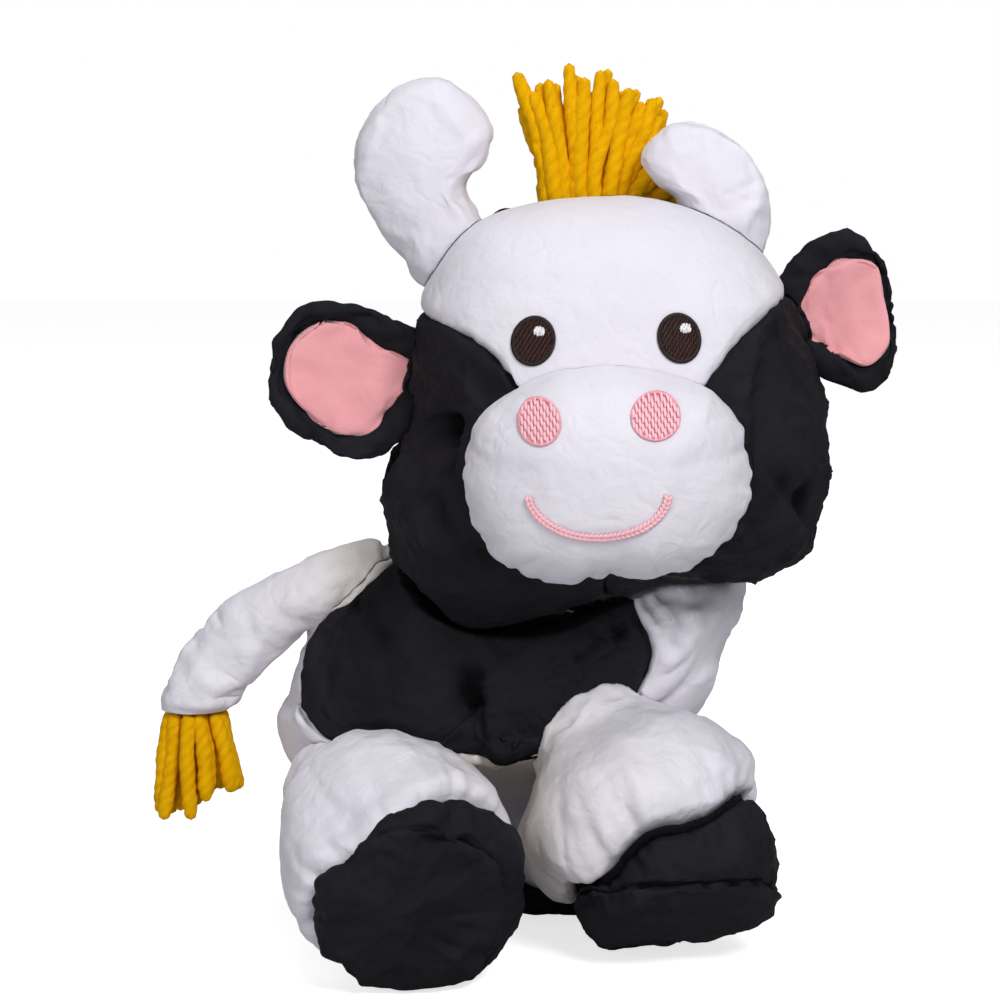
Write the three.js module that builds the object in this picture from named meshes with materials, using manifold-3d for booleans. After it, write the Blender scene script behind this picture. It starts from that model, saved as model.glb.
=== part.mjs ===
// A stuffed toy cow of thin puffy nylon, half lying: the two near legs are splayed out to
// the viewer with their soles up, the two far legs stand under the belly, and the head is
// turned to face the viewer. Millimetres, +Z up, the viewer at -Y, left and right as seen.

import * as THREE from "three";
import { mergeVertices } from "three/addons/utils/BufferGeometryUtils.js";
import Module from "manifold-3d";

const wasm = await Module();
wasm.setup();

// Fabric and clearances
const FABRIC = 1.2; // cloth with the layer of wadding that clings to it
const GAP = 0.3; // between two pieces that touch
const SEAM = 0.3; // between two panels along a seam
const PLAY = 1; // round a piece that moves
const BEYOND = 100; // how far past a surface a cut reaches

// Colours
const WHITE = 0xe2dfe9;
const BLACK = 0x1c1c22;
const EAR_PINK = 0xe8a6ae;
const THREAD_PINK = 0xf0a2ac;
const THREAD_BROWN = 0x321e16;
const YARN = 0xe8ac00;
const WADDING = 0xf4f2ee;

// Torso: a bean whose side outline is the photographed one, 124 deep
const TORSO_CENTRE = new THREE.Vector3(2, 12, 100);
const TORSO_DEPTH = { near: 62, far: 62 };
const TORSO_OUTLINE = [
  [-86, 70], [-84, 88], [-76, 106], [-63, 123], [-43, 140], [-10, 151], [40, 151],
  [78, 146], [96, 130], [93, 112], [86, 95], [76, 76], [50, 60], [0, 56], [-46, 52], [-76, 54],
];
const PATCH_OUTLINE = [
  [-34, 143], [-46, 133], [-60, 121], [-70, 109], [-75, 97], [-75, 87], [-69, 80], [-56, 76],
  [-14, 75], [2, 71], [28, 79], [44, 88], [53, 100], [56, 113], [50, 126], [40, 140], [0, 146],
];

// Head: wide soft cheeks, a narrower forehead
const HEAD_CENTRE = new THREE.Vector3(40, -31, 196);
const HEAD_DEPTH = { near: 58, far: 56 };
const HEAD_OUTLINE = [
  [-28, 246], [-31, 222], [-36, 194], [-45, 168], [-40, 144], [-20, 124], [8, 120], [40, 125],
  [72, 130], [100, 137], [119, 155], [126, 182], [121, 212], [108, 244], [92, 266], [66, 279],
  [40, 282], [10, 279], [-12, 270],
];
const HEAD_BACK_Y = -8; // the seam that runs over the crown and down both sides
const SEAM_LEFT = [[-60, 232], [-27, 238], [-10, 232], [0, 224], [6, 214]];
const SEAM_RIGHT = [[74, 216], [80, 225], [90, 236], [107, 246], [140, 250]];

// Muzzle: a full pouch sewn over the lower face
const MUZZLE_CENTRE = new THREE.Vector3(38, -80, 186);
const MUZZLE_DEPTH = { near: 38, far: 30 };
const MUZZLE_OUTLINE = [
  [5, 217], [-9, 206], [-14, 188], [-12, 168], [-2, 152], [18, 145], [40, 145], [62, 147],
  [80, 156], [90, 172], [90, 194], [82, 212], [66, 221], [40, 226], [18, 223],
];

// Embroidery, as [x, z] on the face
const EYE = { x: 26, z: 232, rx: 7.6, rz: 9, lean: 0.35, lift: 1 };
const HIGHLIGHT = { dx: 2.2, dz: 3.4, r: 2.1 };
const NOSTRIL = { x: 20.5, z: 206.3, rx: 8.4, rz: 8.8, lift: 1 };
const FACE_X = 38; // the middle of the forehead
const MUZZLE_X = 34.5; // the middle of the muzzle
const MOUTH = { z: 181, halfWidth: 25, drop: 14.5, thickness: 3 };
const THREAD = 1; // how far the embroidery stands up

// Horns: stuffed like mittens, the tips curled in towards each other
const HORN_LEFT = {
  centre: new THREE.Vector3(-28, -15, 287),
  outline: [
    [-26, 244], [-39, 259], [-50, 276], [-55, 294], [-50, 309], [-38, 322], [-24, 325],
    [-11, 318], [-2, 305], [-5, 294], [-12, 285], [-6, 270], [0, 252], [-12, 240],
  ],
  depth: { near: 20, far: 20 },
};
const HORN_RIGHT = {
  centre: new THREE.Vector3(82, -15, 281),
  outline: [
    [52, 294], [57, 303], [68, 308], [80, 305], [92, 297], [101, 281], [101, 264],
    [94, 248], [76, 250], [67, 267], [66, 279], [58, 285],
  ],
  depth: { near: 17, far: 17 },
};

// Ears: a cupped black pad with a pink lining
const EAR_SPAN = 30; // from an ear's middle to where it cups forward by its whole cup
const LINING = 2.2;
const EAR_LEFT = {
  pivot: new THREE.Vector3(-33, -24, 214),
  outline: [
    [-24, 230], [-36, 237], [-53, 242], [-68, 241], [-80, 233], [-87, 214], [-84, 199],
    [-70, 189], [-54, 182], [-38, 187], [-24, 198],
  ],
  lining: [
    [-31, 216], [-48, 227], [-58, 234], [-70, 234], [-80, 225], [-83, 211], [-76, 200],
    [-62, 191], [-50, 192], [-40, 204],
  ],
  depth: 8,
  cup: 7,
};
const EAR_RIGHT = {
  pivot: new THREE.Vector3(112, -16, 234),
  outline: [
    [102, 250], [112, 260], [126, 266], [140, 260], [150, 238], [150, 220], [138, 208],
    [124, 211], [108, 222], [102, 234],
  ],
  lining: [
    [114, 232], [118, 250], [130, 258], [141, 255], [147, 240], [147, 226], [138, 217], [124, 224],
  ],
  depth: 8,
  cup: 6,
};

// Forelock: a row of fat yarn strands on the crown, as [foot x, tip x, tip z]
const FORELOCK_Y = 1;
const FORELOCK_FOOT_Z = 262;
const STRAND_RADIUS = 3.6;
const STRANDS = [
  [19, 5, 320], [23, 12, 321], [27, 20, 322], [31, 27, 325], [35, 33, 322],
  [40, 40, 325], [45, 47, 319], [50, 53, 314], [54, 59, 311],
];

// Tail: a short fat tube with a yarn tassel
const TAIL = {
  route: [[-38, 0, 138], [-70, 0, 128], [-92, 1, 115], [-108, 3, 99], [-119, 4, 79], [-123, 5, 62]],
  radii: [13.5, 13.5, 13.5, 13.5, 13.2, 13],
  blunt: 0.14,
};
const TAIL_PIVOT = new THREE.Vector3(-53, 0, 134);
const TAIL_END_Z = 80;
const TASSEL = {
  x: -118, y: 5, bottom: 36, spread: 16, wide: 0.86, deep: 0.7, strands: 8, radius: 4.8,
};

// Legs: a ball at the root, a full sleeve, a gathered seam, a hoof and its sole
const ROOT_RADIUS = 27;
const HOOF_BACK = 15; // from the hoof's centre back to its seam
const HOOF_FRONT = 12; // from the hoof's centre forward to the sole's seam
const SOLE_FRONT = 18; // from the hoof's centre forward to the crown of the sole
// The far hooves stand flat under the toy's weight, pressed to a share of that depth
const PRESSED = 0.5;
const LEGS = {
  hind_near: {
    root: [-57, -28, 53], hoof: [-28, -108, 36.3], sleeve: 43.5, hoofRadius: 38.5, range: [-12, 6],
  },
  fore_near: {
    root: [38, -35, 77], hoof: [68, -66, 30.7], sleeve: 45, hoofRadius: 40, range: [-12, 6],
  },
  hind_far: {
    root: [-46, 33, 60], hoof: [-46, 33, 7.5], sleeve: 34, hoofRadius: 37, range: [-4, 12],
    press: PRESSED,
  },
  fore_far: {
    root: [42, 27, 61], hoof: [42, 27, 7.5], sleeve: 34, hoofRadius: 37, range: [-4, 12],
    press: PRESSED,
  },
};

// Mesh densities
const TORSO_MESH = { sides: 24, rings: 10 };
const PATCH_SIDES = 36;
const HEAD_MESH = { sides: 24, rings: 10 };
const MUZZLE_MESH = { sides: 18, rings: 6 };
const HORN_MESH = { sides: 18, rings: 6 };
const EAR_MESH = { sides: 16, rings: 5 };
const EAR_LINING_SIDES = 24;
const LEG_MESH = { sides: 14, span: 3 };
const TUBE_MESH = { sides: 10, steps: 8 };
const STRAND_MESH = { sides: 6, steps: 4 };
const CURVE_STEPS = 12;
// How closely a sweep follows the moving piece: wadding out of sight gets more room
const COARSE = { play: 2.5, poses: 2 };
const FINE = { play: PLAY, poses: 3 };
const FINEST = { play: PLAY, poses: 5 };

const PATCH_SHY = 22; // the side patches stop this far from the torso's middle plane
const HEAD_TURN = [-20, 20]; // degrees about the neck
const TAIL_SWING = [-3, 20]; // degrees, down and up
const EAR_FLAP = [-15, 15]; // degrees, fore and aft

// Solids and cuts

/** A closed geometry as a solid that can be joined and cut. */
function solidOf(geometry) {
  const bare = geometry.index ? geometry.toNonIndexed() : geometry.clone();
  for (const name of ["normal", "uv"]) bare.deleteAttribute(name);
  const merged = mergeVertices(bare, 1e-3);
  return new wasm.Manifold(
    new wasm.Mesh({
      numProp: 3,
      vertProperties: merged.attributes.position.array,
      triVerts: new Uint32Array(merged.index.array),
    }),
  );
}

/** The largest body of a solid, without the slivers a cut may leave. */
function largest(solid) {
  const bodies = solid.decompose();
  return bodies.reduce((best, one) => (one.volume() > best.volume() ? one : best));
}

/** A solid as a geometry whose origin is the given point. */
function geometryOf(solid, origin) {
  const mesh = largest(solid).getMesh();
  const geometry = new THREE.BufferGeometry();
  geometry.setAttribute("position", new THREE.BufferAttribute(mesh.vertProperties, 3));
  geometry.setIndex(new THREE.BufferAttribute(mesh.triVerts, 1));
  geometry.translate(-origin.x, -origin.y, -origin.z);
  geometry.computeVertexNormals();
  return geometry;
}

/** A geometry turned about an axis through a pivot, by degrees. */
function turned(geometry, pivot, axis, degrees) {
  const turn = new THREE.Matrix4().makeRotationAxis(axis, THREE.MathUtils.degToRad(degrees));
  const back = new THREE.Matrix4().makeTranslation(-pivot.x, -pivot.y, -pivot.z);
  const out = new THREE.Matrix4().makeTranslation(pivot.x, pivot.y, pivot.z);
  return geometry.clone().applyMatrix4(back).applyMatrix4(turn).applyMatrix4(out);
}

/** What a geometry sweeps as it turns through a range, as a join of poses. */
function sweptRange(geometry, pivot, axis, [low, high], poses) {
  let sweep = solidOf(geometry);
  for (let i = 0; i < poses; i++) {
    const degrees = low + ((high - low) * i) / (poses - 1);
    sweep = sweep.add(solidOf(turned(geometry, pivot, axis, degrees)));
  }
  return sweep;
}

/** Several geometries as one solid. */
function joined(geometries) {
  return geometries.map(solidOf).reduce((all, one) => all.add(one));
}

/** The space above a height. */
function above(z) {
  return solidOf(new THREE.BoxGeometry(600, 600, 600).translate(0, 0, z + 300));
}

/** A closed smooth outline through the points, as a list of Vector2. */
function outlineOf(points, count) {
  const curve = new THREE.CatmullRomCurve3(
    points.map(([x, z]) => new THREE.Vector3(x, z, 0)),
    true,
    "centripetal",
  );
  const line = curve.getPoints(count).slice(0, count).map((p) => new THREE.Vector2(p.x, p.y));
  return THREE.ShapeUtils.isClockWise(line) ? line : line.reverse();
}

/** An upright prism on an outline in X and Z, between two depths. */
function prism(outline, y0, y1) {
  const shape = new THREE.Shape(outline);
  const geometry = new THREE.ExtrudeGeometry(shape, { depth: y1 - y0, bevelEnabled: false });
  return solidOf(geometry.rotateX(Math.PI / 2).translate(0, y1, 0));
}

/** Rings of points closed by a pole at each end, as one geometry facing out. */
function ringed(rings, first, last) {
  const sides = rings[0].length;
  const positions = [first, ...rings.flat(), last].flatMap((p) => [p.x, p.y, p.z]);
  const at = (ring, side) => 1 + ring * sides + (side % sides);
  const end = rings.length * sides + 1;
  const index = [];
  for (let side = 0; side < sides; side++) {
    index.push(0, at(0, side + 1), at(0, side));
    index.push(end, at(rings.length - 1, side), at(rings.length - 1, side + 1));
    for (let ring = 0; ring + 1 < rings.length; ring++) {
      index.push(at(ring, side), at(ring, side + 1), at(ring + 1, side));
      index.push(at(ring, side + 1), at(ring + 1, side + 1), at(ring + 1, side));
    }
  }
  const geometry = new THREE.BufferGeometry();
  geometry.setAttribute("position", new THREE.Float32BufferAttribute(positions, 3));
  geometry.setIndex(index);
  return geometry;
}

/** An outline puffed up to a pole at the front and one at the back. */
function puffed(form, inset = 0) {
  const { centre, outline, depth, mesh, fullness = 0.86 } = form;
  const edge = outlineOf(outline, mesh.sides);
  const rings = [];
  for (let ring = 1; ring < mesh.rings; ring++) {
    const turn = Math.PI * (ring / mesh.rings - 0.5);
    const wide = Math.cos(turn) ** fullness;
    const reach = Math.sign(turn) * Math.abs(Math.sin(turn)) ** fullness;
    const half = (turn < 0 ? depth.near : depth.far) - inset;
    rings.push(
      edge.map((p) => {
        const dx = p.x - centre.x;
        const dz = p.y - centre.z;
        const scale = wide * (1 - inset / Math.hypot(dx, dz));
        return new THREE.Vector3(centre.x + dx * scale, centre.y + half * reach, centre.z + dz * scale);
      }),
    );
  }
  const near = centre.clone().setY(centre.y - depth.near + inset);
  const far = centre.clone().setY(centre.y + depth.far - inset);
  return ringed(rings, near, far);
}

/** A round tube along a route, its radius eased between stations, its ends domed. */
function tube({ route, radii, mesh = TUBE_MESH, blunt = 0.36 }, inset = 0) {
  const curve = new THREE.CatmullRomCurve3(route.map((p) => new THREE.Vector3(...p)));
  const width = new THREE.SplineCurve(radii.map((r, i) => new THREE.Vector2(i, r)));
  const frames = curve.computeFrenetFrames(64);
  const spine = (share) => {
    const along = curve.getTangentAt(share).multiplyScalar(inset * (1 - 2 * share) ** 3);
    return curve.getPointAt(share).add(along);
  };
  const rings = [];
  for (let step = 1; step < mesh.steps; step++) {
    const share = 0.5 - 0.5 * Math.cos((Math.PI * step) / mesh.steps);
    const radius = (width.getPoint(share).y - inset) * (4 * share * (1 - share)) ** blunt;
    const middle = spine(share);
    const frame = Math.round(share * 64);
    rings.push(
      Array.from({ length: mesh.sides }, (_, side) => {
        const turn = (2 * Math.PI * side) / mesh.sides;
        return middle
          .clone()
          .addScaledVector(frames.normals[frame], radius * Math.cos(turn))
          .addScaledVector(frames.binormals[frame], radius * Math.sin(turn));
      }),
    );
  }
  return ringed(rings, spine(0), spine(1));
}

/** The half section of a leg along its axis, from the root's pole to the sole's. */
function legProfile({ length, sleeve, hoofRadius, press = 1 }, inset) {
  const ball = Array.from({ length: 3 }, (_, i) => {
    const turn = (Math.PI / 2) * (i / 3);
    return new THREE.Vector2(ROOT_RADIUS * Math.sin(turn), -ROOT_RADIUS * Math.cos(turn));
  });
  const seam = length - HOOF_BACK * press;
  const gathered = hoofRadius * 0.92;
  const swell = new THREE.SplineCurve([
    new THREE.Vector2(ROOT_RADIUS, 0),
    new THREE.Vector2(sleeve * 0.92, seam * 0.36),
    new THREE.Vector2(sleeve, seam * 0.68),
    new THREE.Vector2(sleeve * 0.97, seam - 4),
    new THREE.Vector2(gathered, seam),
  ]);
  const hoof = new THREE.SplineCurve([
    new THREE.Vector2(gathered, seam),
    new THREE.Vector2(hoofRadius * 0.99, length - HOOF_BACK * press * 0.5),
    new THREE.Vector2(hoofRadius, length + 2 * press),
    new THREE.Vector2(hoofRadius * 0.92, length + (HOOF_FRONT - 2) * press),
    new THREE.Vector2(hoofRadius * 0.62, length + (SOLE_FRONT - 1.5) * press),
    new THREE.Vector2(0, length + SOLE_FRONT * press),
  ]);
  const { span } = LEG_MESH;
  const line = [...ball, ...swell.getPoints(span).slice(0, -1), ...hoof.getPoints(span)];
  return line.map((p, i) => {
    const before = line[Math.max(i - 1, 0)];
    const after = line[Math.min(i + 1, line.length - 1)];
    const along = after.clone().sub(before).normalize();
    const atPole = i === 0 || i === line.length - 1;
    const out = atPole ? new THREE.Vector2(0, i === 0 ? -1 : 1) : new THREE.Vector2(along.y, -along.x);
    const moved = p.clone().addScaledVector(out, -inset);
    return new THREE.Vector2(atPole ? 0 : Math.max(moved.x, 0.5), moved.y);
  });
}

/** A leg's place: its axis as +Y of a frame whose origin is the root's centre. */
function legMatrix({ root, hoof }) {
  const from = new THREE.Vector3(...root);
  const axis = new THREE.Vector3(...hoof).sub(from).normalize();
  const turn = new THREE.Quaternion().setFromUnitVectors(new THREE.Vector3(0, 1, 0), axis);
  return new THREE.Matrix4().compose(from, turn, new THREE.Vector3(1, 1, 1));
}

/** A whole leg, without the cut at the floor. */
function legForm(leg, inset = 0) {
  const length = new THREE.Vector3(...leg.root).distanceTo(new THREE.Vector3(...leg.hoof));
  const profile = legProfile({ ...leg, length }, inset);
  return new THREE.LatheGeometry(profile, LEG_MESH.sides).applyMatrix4(legMatrix(leg));
}

/** A slab across a leg's axis, between two distances from the root's centre. */
function legSlab(leg, from, to) {
  const slab = new THREE.CylinderGeometry(BEYOND, BEYOND, to - from, 24);
  return solidOf(slab.translate(0, (from + to) / 2, 0).applyMatrix4(legMatrix(leg)));
}

// Scene assembly

const cow = new THREE.Group();
const ORIGIN = new THREE.Vector3(8, -29, 0); // under the middle of the whole toy

/** A body of the toy: a group placed at the point about which it turns. */
function body(pivot) {
  const group = new THREE.Group();
  group.position.copy(pivot).sub(ORIGIN);
  group.userData.pivot = pivot;
  cow.add(group);
  return group;
}

/** Adds one named piece to a body. */
function addPiece(group, name, solid, color, roughness) {
  const material = new THREE.MeshStandardMaterial({ color, roughness, metalness: 0 });
  const mesh = new THREE.Mesh(geometryOf(solid, group.userData.pivot), material);
  mesh.name = name;
  group.add(mesh);
}

const AXIS_X = new THREE.Vector3(1, 0, 0);
const AXIS_Y = new THREE.Vector3(0, 1, 0);
const AXIS_Z = new THREE.Vector3(0, 0, 1);
const NYLON = 0.42;
const YARN_ROUGH = 0.85;
const WADDING_ROUGH = 0.95;

const torsoForm = {
  centre: TORSO_CENTRE, outline: TORSO_OUTLINE, depth: TORSO_DEPTH, mesh: TORSO_MESH,
};
const headForm = { centre: HEAD_CENTRE, outline: HEAD_OUTLINE, depth: HEAD_DEPTH, mesh: HEAD_MESH };
const muzzleForm = {
  centre: MUZZLE_CENTRE, outline: MUZZLE_OUTLINE, depth: MUZZLE_DEPTH, mesh: MUZZLE_MESH,
};

/** The room that a puffed form takes as it turns, or as its neighbour turns back past it. */
function roomOf(form, pivot, axis, range, { play, poses }) {
  return sweptRange(puffed(form, -play), pivot, axis, range, poses);
}

/** The room that the torso takes beside a limb which turns through its range. */
function torsoRoom(pivot, axis, [low, high], cutter) {
  return roomOf(torsoForm, pivot, axis, [-high, -low], cutter);
}

// Torso: filling, white cover and the two black side patches
function buildTorso() {
  const group = body(TORSO_CENTRE);
  const filling = solidOf(puffed(torsoForm, FABRIC + GAP));
  const cover = solidOf(puffed(torsoForm))
    .subtract(solidOf(puffed(torsoForm, FABRIC)))
    .subtract(roomOf(headForm, HEAD_CENTRE, AXIS_Z, HEAD_TURN, FINEST));
  const bowl = roomOf(headForm, HEAD_CENTRE, AXIS_Z, HEAD_TURN, COARSE);
  const patch = outlineOf(PATCH_OUTLINE, PATCH_SIDES);
  const middle = new THREE.Vector2(TORSO_CENTRE.x, TORSO_CENTRE.z);
  const seam = patch.map((p) => p.clone().add(p.clone().sub(middle).setLength(SEAM)));
  const { y } = TORSO_CENTRE;
  const nearSide = (outline) => prism(outline, y - BEYOND, y - PATCH_SHY);
  const farSide = (outline) => prism(outline, y + PATCH_SHY, y + BEYOND);
  addPiece(group, "torso_filling", filling.subtract(bowl), WADDING, WADDING_ROUGH);
  addPiece(group, "torso_cover", cover.subtract(nearSide(seam)).subtract(farSide(seam)), WHITE, NYLON);
  addPiece(group, "side_patch_near", cover.intersect(nearSide(patch)), BLACK, NYLON);
  addPiece(group, "side_patch_far", cover.intersect(farSide(patch)), BLACK, NYLON);
}

// Legs: filling, sleeve, hoof and sole each
function buildLeg(name, leg) {
  const root = new THREE.Vector3(...leg.root);
  const group = body(root);
  const length = root.distanceTo(new THREE.Vector3(...leg.hoof));
  const cover = solidOf(legForm(leg))
    .intersect(above(0))
    .subtract(solidOf(legForm(leg, FABRIC)).intersect(above(FABRIC)))
    .subtract(torsoRoom(root, AXIS_X, leg.range, FINE));
  const filling = solidOf(legForm(leg, FABRIC + GAP))
    .intersect(above(FABRIC + GAP))
    .subtract(torsoRoom(root, AXIS_X, leg.range, COARSE));
  const { press = 1 } = leg;
  const back = length - HOOF_BACK * press;
  const front = length + HOOF_FRONT * press;
  const band = (from, to) => cover.intersect(legSlab(leg, from, to));
  addPiece(group, `${name}_leg_filling`, filling, WADDING, WADDING_ROUGH);
  addPiece(group, `${name}_leg_sleeve`, band(-BEYOND, back - SEAM / 2), WHITE, NYLON);
  addPiece(group, `${name}_hoof_upper`, band(back + SEAM / 2, front - SEAM / 2), BLACK, NYLON);
  addPiece(group, `${name}_hoof_sole`, band(front + SEAM / 2, front + BEYOND), BLACK, NYLON);
}

// Tail: filling, tube and tassel
function buildTail() {
  const group = body(TAIL_PIVOT);
  const cover = solidOf(tube(TAIL))
    .subtract(solidOf(tube(TAIL, FABRIC)))
    .subtract(torsoRoom(TAIL_PIVOT, AXIS_Y, TAIL_SWING, FINE));
  const filling = solidOf(tube(TAIL, FABRIC + GAP))
    .subtract(torsoRoom(TAIL_PIVOT, AXIS_Y, TAIL_SWING, COARSE));
  addPiece(group, "tail_filling", filling.intersect(above(TAIL_END_Z)), WADDING, WADDING_ROUGH);
  addPiece(group, "tail_cover", cover.intersect(above(TAIL_END_Z)), WHITE, NYLON);
  const strands = Array.from({ length: TASSEL.strands }, (_, i) => {
    const out = i === 0 ? 0 : TASSEL.spread;
    const turn = (2 * Math.PI * i) / (TASSEL.strands - 1);
    const at = (share, z) => [
      TASSEL.x + out * share * TASSEL.wide * Math.cos(turn),
      TASSEL.y + out * share * TASSEL.deep * Math.sin(turn),
      z,
    ];
    const tip = TASSEL.bottom + (i % 3) * 3;
    return tube({
      route: [at(0.5, TAIL_END_Z + 12), at(0.8, TAIL_END_Z - 18), at(1, tip)],
      radii: [TASSEL.radius * 1.1, TASSEL.radius, TASSEL.radius],
      mesh: STRAND_MESH,
      blunt: 0.22,
    });
  });
  const yarn = joined(strands).subtract(above(TAIL_END_Z - GAP));
  addPiece(group, "tail_tassel", yarn, YARN, YARN_ROUGH);
}

// Head: filling, face, cheeks and back
function buildHead() {
  const group = body(HEAD_CENTRE);
  const outer = solidOf(puffed(headForm));
  const cover = outer.subtract(solidOf(puffed(headForm, FABRIC)));
  const corner = (x, z) => new THREE.Vector2(x, z);
  const seamLine = (points) => {
    const line = new THREE.SplineCurve(points.map(([x, z]) => corner(x, z)));
    return line.getPoints(CURVE_STEPS);
  };
  const left = seamLine(SEAM_LEFT);
  const right = seamLine(SEAM_RIGHT);
  const lowered = (points) => points.map((p) => corner(p.x, p.y - SEAM));
  const [west, east] = [left[0].x, right.at(-1).x];
  const bottom = HEAD_CENTRE.z - BEYOND;
  const top = HEAD_CENTRE.z + BEYOND;
  const chin = left.at(-1).y - SEAM;
  const upper = [...left, ...right, corner(east, top), corner(west, top)];
  const lowLeft = [
    ...lowered(left), corner(FACE_X - SEAM, chin), corner(FACE_X - SEAM, bottom),
    corner(west, bottom),
  ];
  const lowRight = [
    corner(FACE_X, chin), ...lowered(right), corner(east, bottom), corner(FACE_X, bottom),
  ];
  const front = (outline) => cover.intersect(prism(outline, HEAD_CENTRE.y - BEYOND, HEAD_BACK_Y));
  const whole = [corner(west, bottom), corner(east, bottom), corner(east, top), corner(west, top)];
  const back = prism(whole, HEAD_BACK_Y + SEAM, HEAD_BACK_Y + BEYOND);
  const filling = solidOf(puffed(headForm, FABRIC + GAP));
  addPiece(group, "head_filling", filling, WADDING, WADDING_ROUGH);
  addPiece(group, "face_panel", front(upper), WHITE, NYLON);
  addPiece(group, "cheek_left", front(lowLeft), BLACK, NYLON);
  addPiece(group, "cheek_right", front(lowRight), BLACK, NYLON);
  addPiece(group, "head_back", cover.intersect(back), BLACK, NYLON);
  buildMuzzle(group);
  buildHorn(group, "horn_left", HORN_LEFT);
  buildHorn(group, "horn_right", HORN_RIGHT);
  buildForelock(group);
  buildEmbroidery(group);
}

function buildMuzzle(group) {
  const head = solidOf(puffed(headForm, -GAP));
  const outer = solidOf(puffed(muzzleForm)).subtract(head);
  const inner = solidOf(puffed(muzzleForm, FABRIC));
  const filling = solidOf(puffed(muzzleForm, FABRIC + GAP)).subtract(head);
  addPiece(group, "muzzle_filling", filling, WADDING, WADDING_ROUGH);
  addPiece(group, "muzzle_cover", outer.subtract(inner), WHITE, NYLON);
}

function buildHorn(group, name, horn) {
  const head = solidOf(puffed(headForm, -GAP));
  const form = { ...horn, mesh: HORN_MESH };
  const cover = solidOf(puffed(form)).subtract(solidOf(puffed(form, FABRIC))).subtract(head);
  const filling = solidOf(puffed(form, FABRIC + GAP)).subtract(head);
  addPiece(group, `${name}_filling`, filling, WADDING, WADDING_ROUGH);
  addPiece(group, `${name}_cover`, cover, WHITE, NYLON);
}

function buildForelock(group) {
  const strands = STRANDS.map(([foot, tip, top], i) => {
    const y = FORELOCK_Y + (i % 2 ? 1.5 : -1.5);
    return tube({
      route: [
        [foot, FORELOCK_Y, FORELOCK_FOOT_Z],
        [foot + (tip - foot) * 0.4, y, (FORELOCK_FOOT_Z + top) / 2],
        [tip, y, top + STRAND_RADIUS],
      ],
      radii: [STRAND_RADIUS, STRAND_RADIUS * 1.15, STRAND_RADIUS * 1.2],
      mesh: STRAND_MESH,
      blunt: 0.2,
    });
  });
  const yarn = joined(strands)
    .subtract(solidOf(puffed(headForm, -GAP)))
    .subtract(solidOf(puffed({ ...HORN_RIGHT, mesh: HORN_MESH }, -2 * GAP)));
  addPiece(group, "forelock", yarn, YARN, YARN_ROUGH);
}

/** An oval in X and Z, leaning by an angle. */
function oval(x, z, rx, rz, lean = 0, count = 18) {
  return new THREE.EllipseCurve(x, z, rx, rz, 0, 2 * Math.PI, false, lean).getPoints(count).slice(0, -1);
}

// Embroidery: thread laid on the face and on the muzzle
function buildEmbroidery(group) {
  const layer = (form, outline, low, high) => {
    const column = prism(outline, form.centre.y - BEYOND, form.centre.y);
    return solidOf(puffed(form, -high)).intersect(column).subtract(solidOf(puffed(form, -low)));
  };
  for (const [side, sign] of [["left", -1], ["right", 1]]) {
    const x = FACE_X + sign * EYE.x;
    const z = EYE.z + (sign > 0 ? EYE.lift : 0);
    const eye = oval(x, z, EYE.rx, EYE.rz, sign * EYE.lean);
    const light = oval(x + HIGHLIGHT.dx, z + HIGHLIGHT.dz, HIGHLIGHT.r, HIGHLIGHT.r, 0, 10);
    const { lift, rx, rz } = NOSTRIL;
    const nostril = oval(MUZZLE_X + sign * NOSTRIL.x, NOSTRIL.z + sign * lift, rx, rz);
    const onEye = 2 * GAP + THREAD;
    addPiece(group, `eye_${side}`, layer(headForm, eye, GAP, GAP + THREAD), THREAD_BROWN, NYLON);
    addPiece(group, `eye_light_${side}`, layer(headForm, light, onEye, onEye + THREAD), WHITE, NYLON);
    addPiece(group, `nostril_${side}`, layer(muzzleForm, nostril, GAP, GAP + THREAD), THREAD_PINK, NYLON);
  }
  const smile = (grow) => {
    const { z, halfWidth, drop } = MOUTH;
    const [rx, rz] = [halfWidth + grow, drop + grow];
    return new THREE.EllipseCurve(MUZZLE_X, z, rx, rz, Math.PI, 2 * Math.PI).getPoints(CURVE_STEPS);
  };
  const band = [...smile(MOUTH.thickness / 2), ...smile(-MOUTH.thickness / 2).reverse()];
  addPiece(group, "mouth_stitch", layer(muzzleForm, band, GAP, GAP + THREAD), THREAD_PINK, NYLON);
}

// Ears: a cupped pad and its lining, cut clear of the head as they flap
function buildEar(name, ear) {
  const group = body(ear.pivot);
  const middle = new THREE.Vector3();
  for (const [x, z] of ear.outline) middle.add(new THREE.Vector3(x, 0, z));
  middle.multiplyScalar(1 / ear.outline.length).setY(ear.pivot.y);
  const depth = { near: ear.depth, far: ear.depth };
  const form = { centre: middle, outline: ear.outline, depth, mesh: EAR_MESH };
  const cupped = (forward) => {
    const geometry = puffed(form);
    const position = geometry.attributes.position;
    for (let i = 0; i < position.count; i++) {
      const out = Math.hypot(position.getX(i) - middle.x, position.getZ(i) - middle.z);
      const rise = ear.cup * ((out / EAR_SPAN) ** 2 - 0.5);
      position.setY(i, position.getY(i) - rise - forward);
    }
    return solidOf(geometry);
  };
  const head = roomOf(headForm, ear.pivot, AXIS_Z, EAR_FLAP, FINE);
  const lining = cupped(LINING)
    .intersect(prism(outlineOf(ear.lining, EAR_LINING_SIDES), middle.y - BEYOND, middle.y))
    .subtract(cupped(GAP));
  addPiece(group, `${name}_back`, cupped(0).subtract(head), BLACK, NYLON);
  addPiece(group, `${name}_lining`, lining.subtract(head), EAR_PINK, NYLON);
}

buildTorso();
for (const [name, leg] of Object.entries(LEGS)) buildLeg(name, leg);
buildTail();
buildHead();
buildEar("ear_left", EAR_LEFT);
buildEar("ear_right", EAR_RIGHT);

export default cow;
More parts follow.
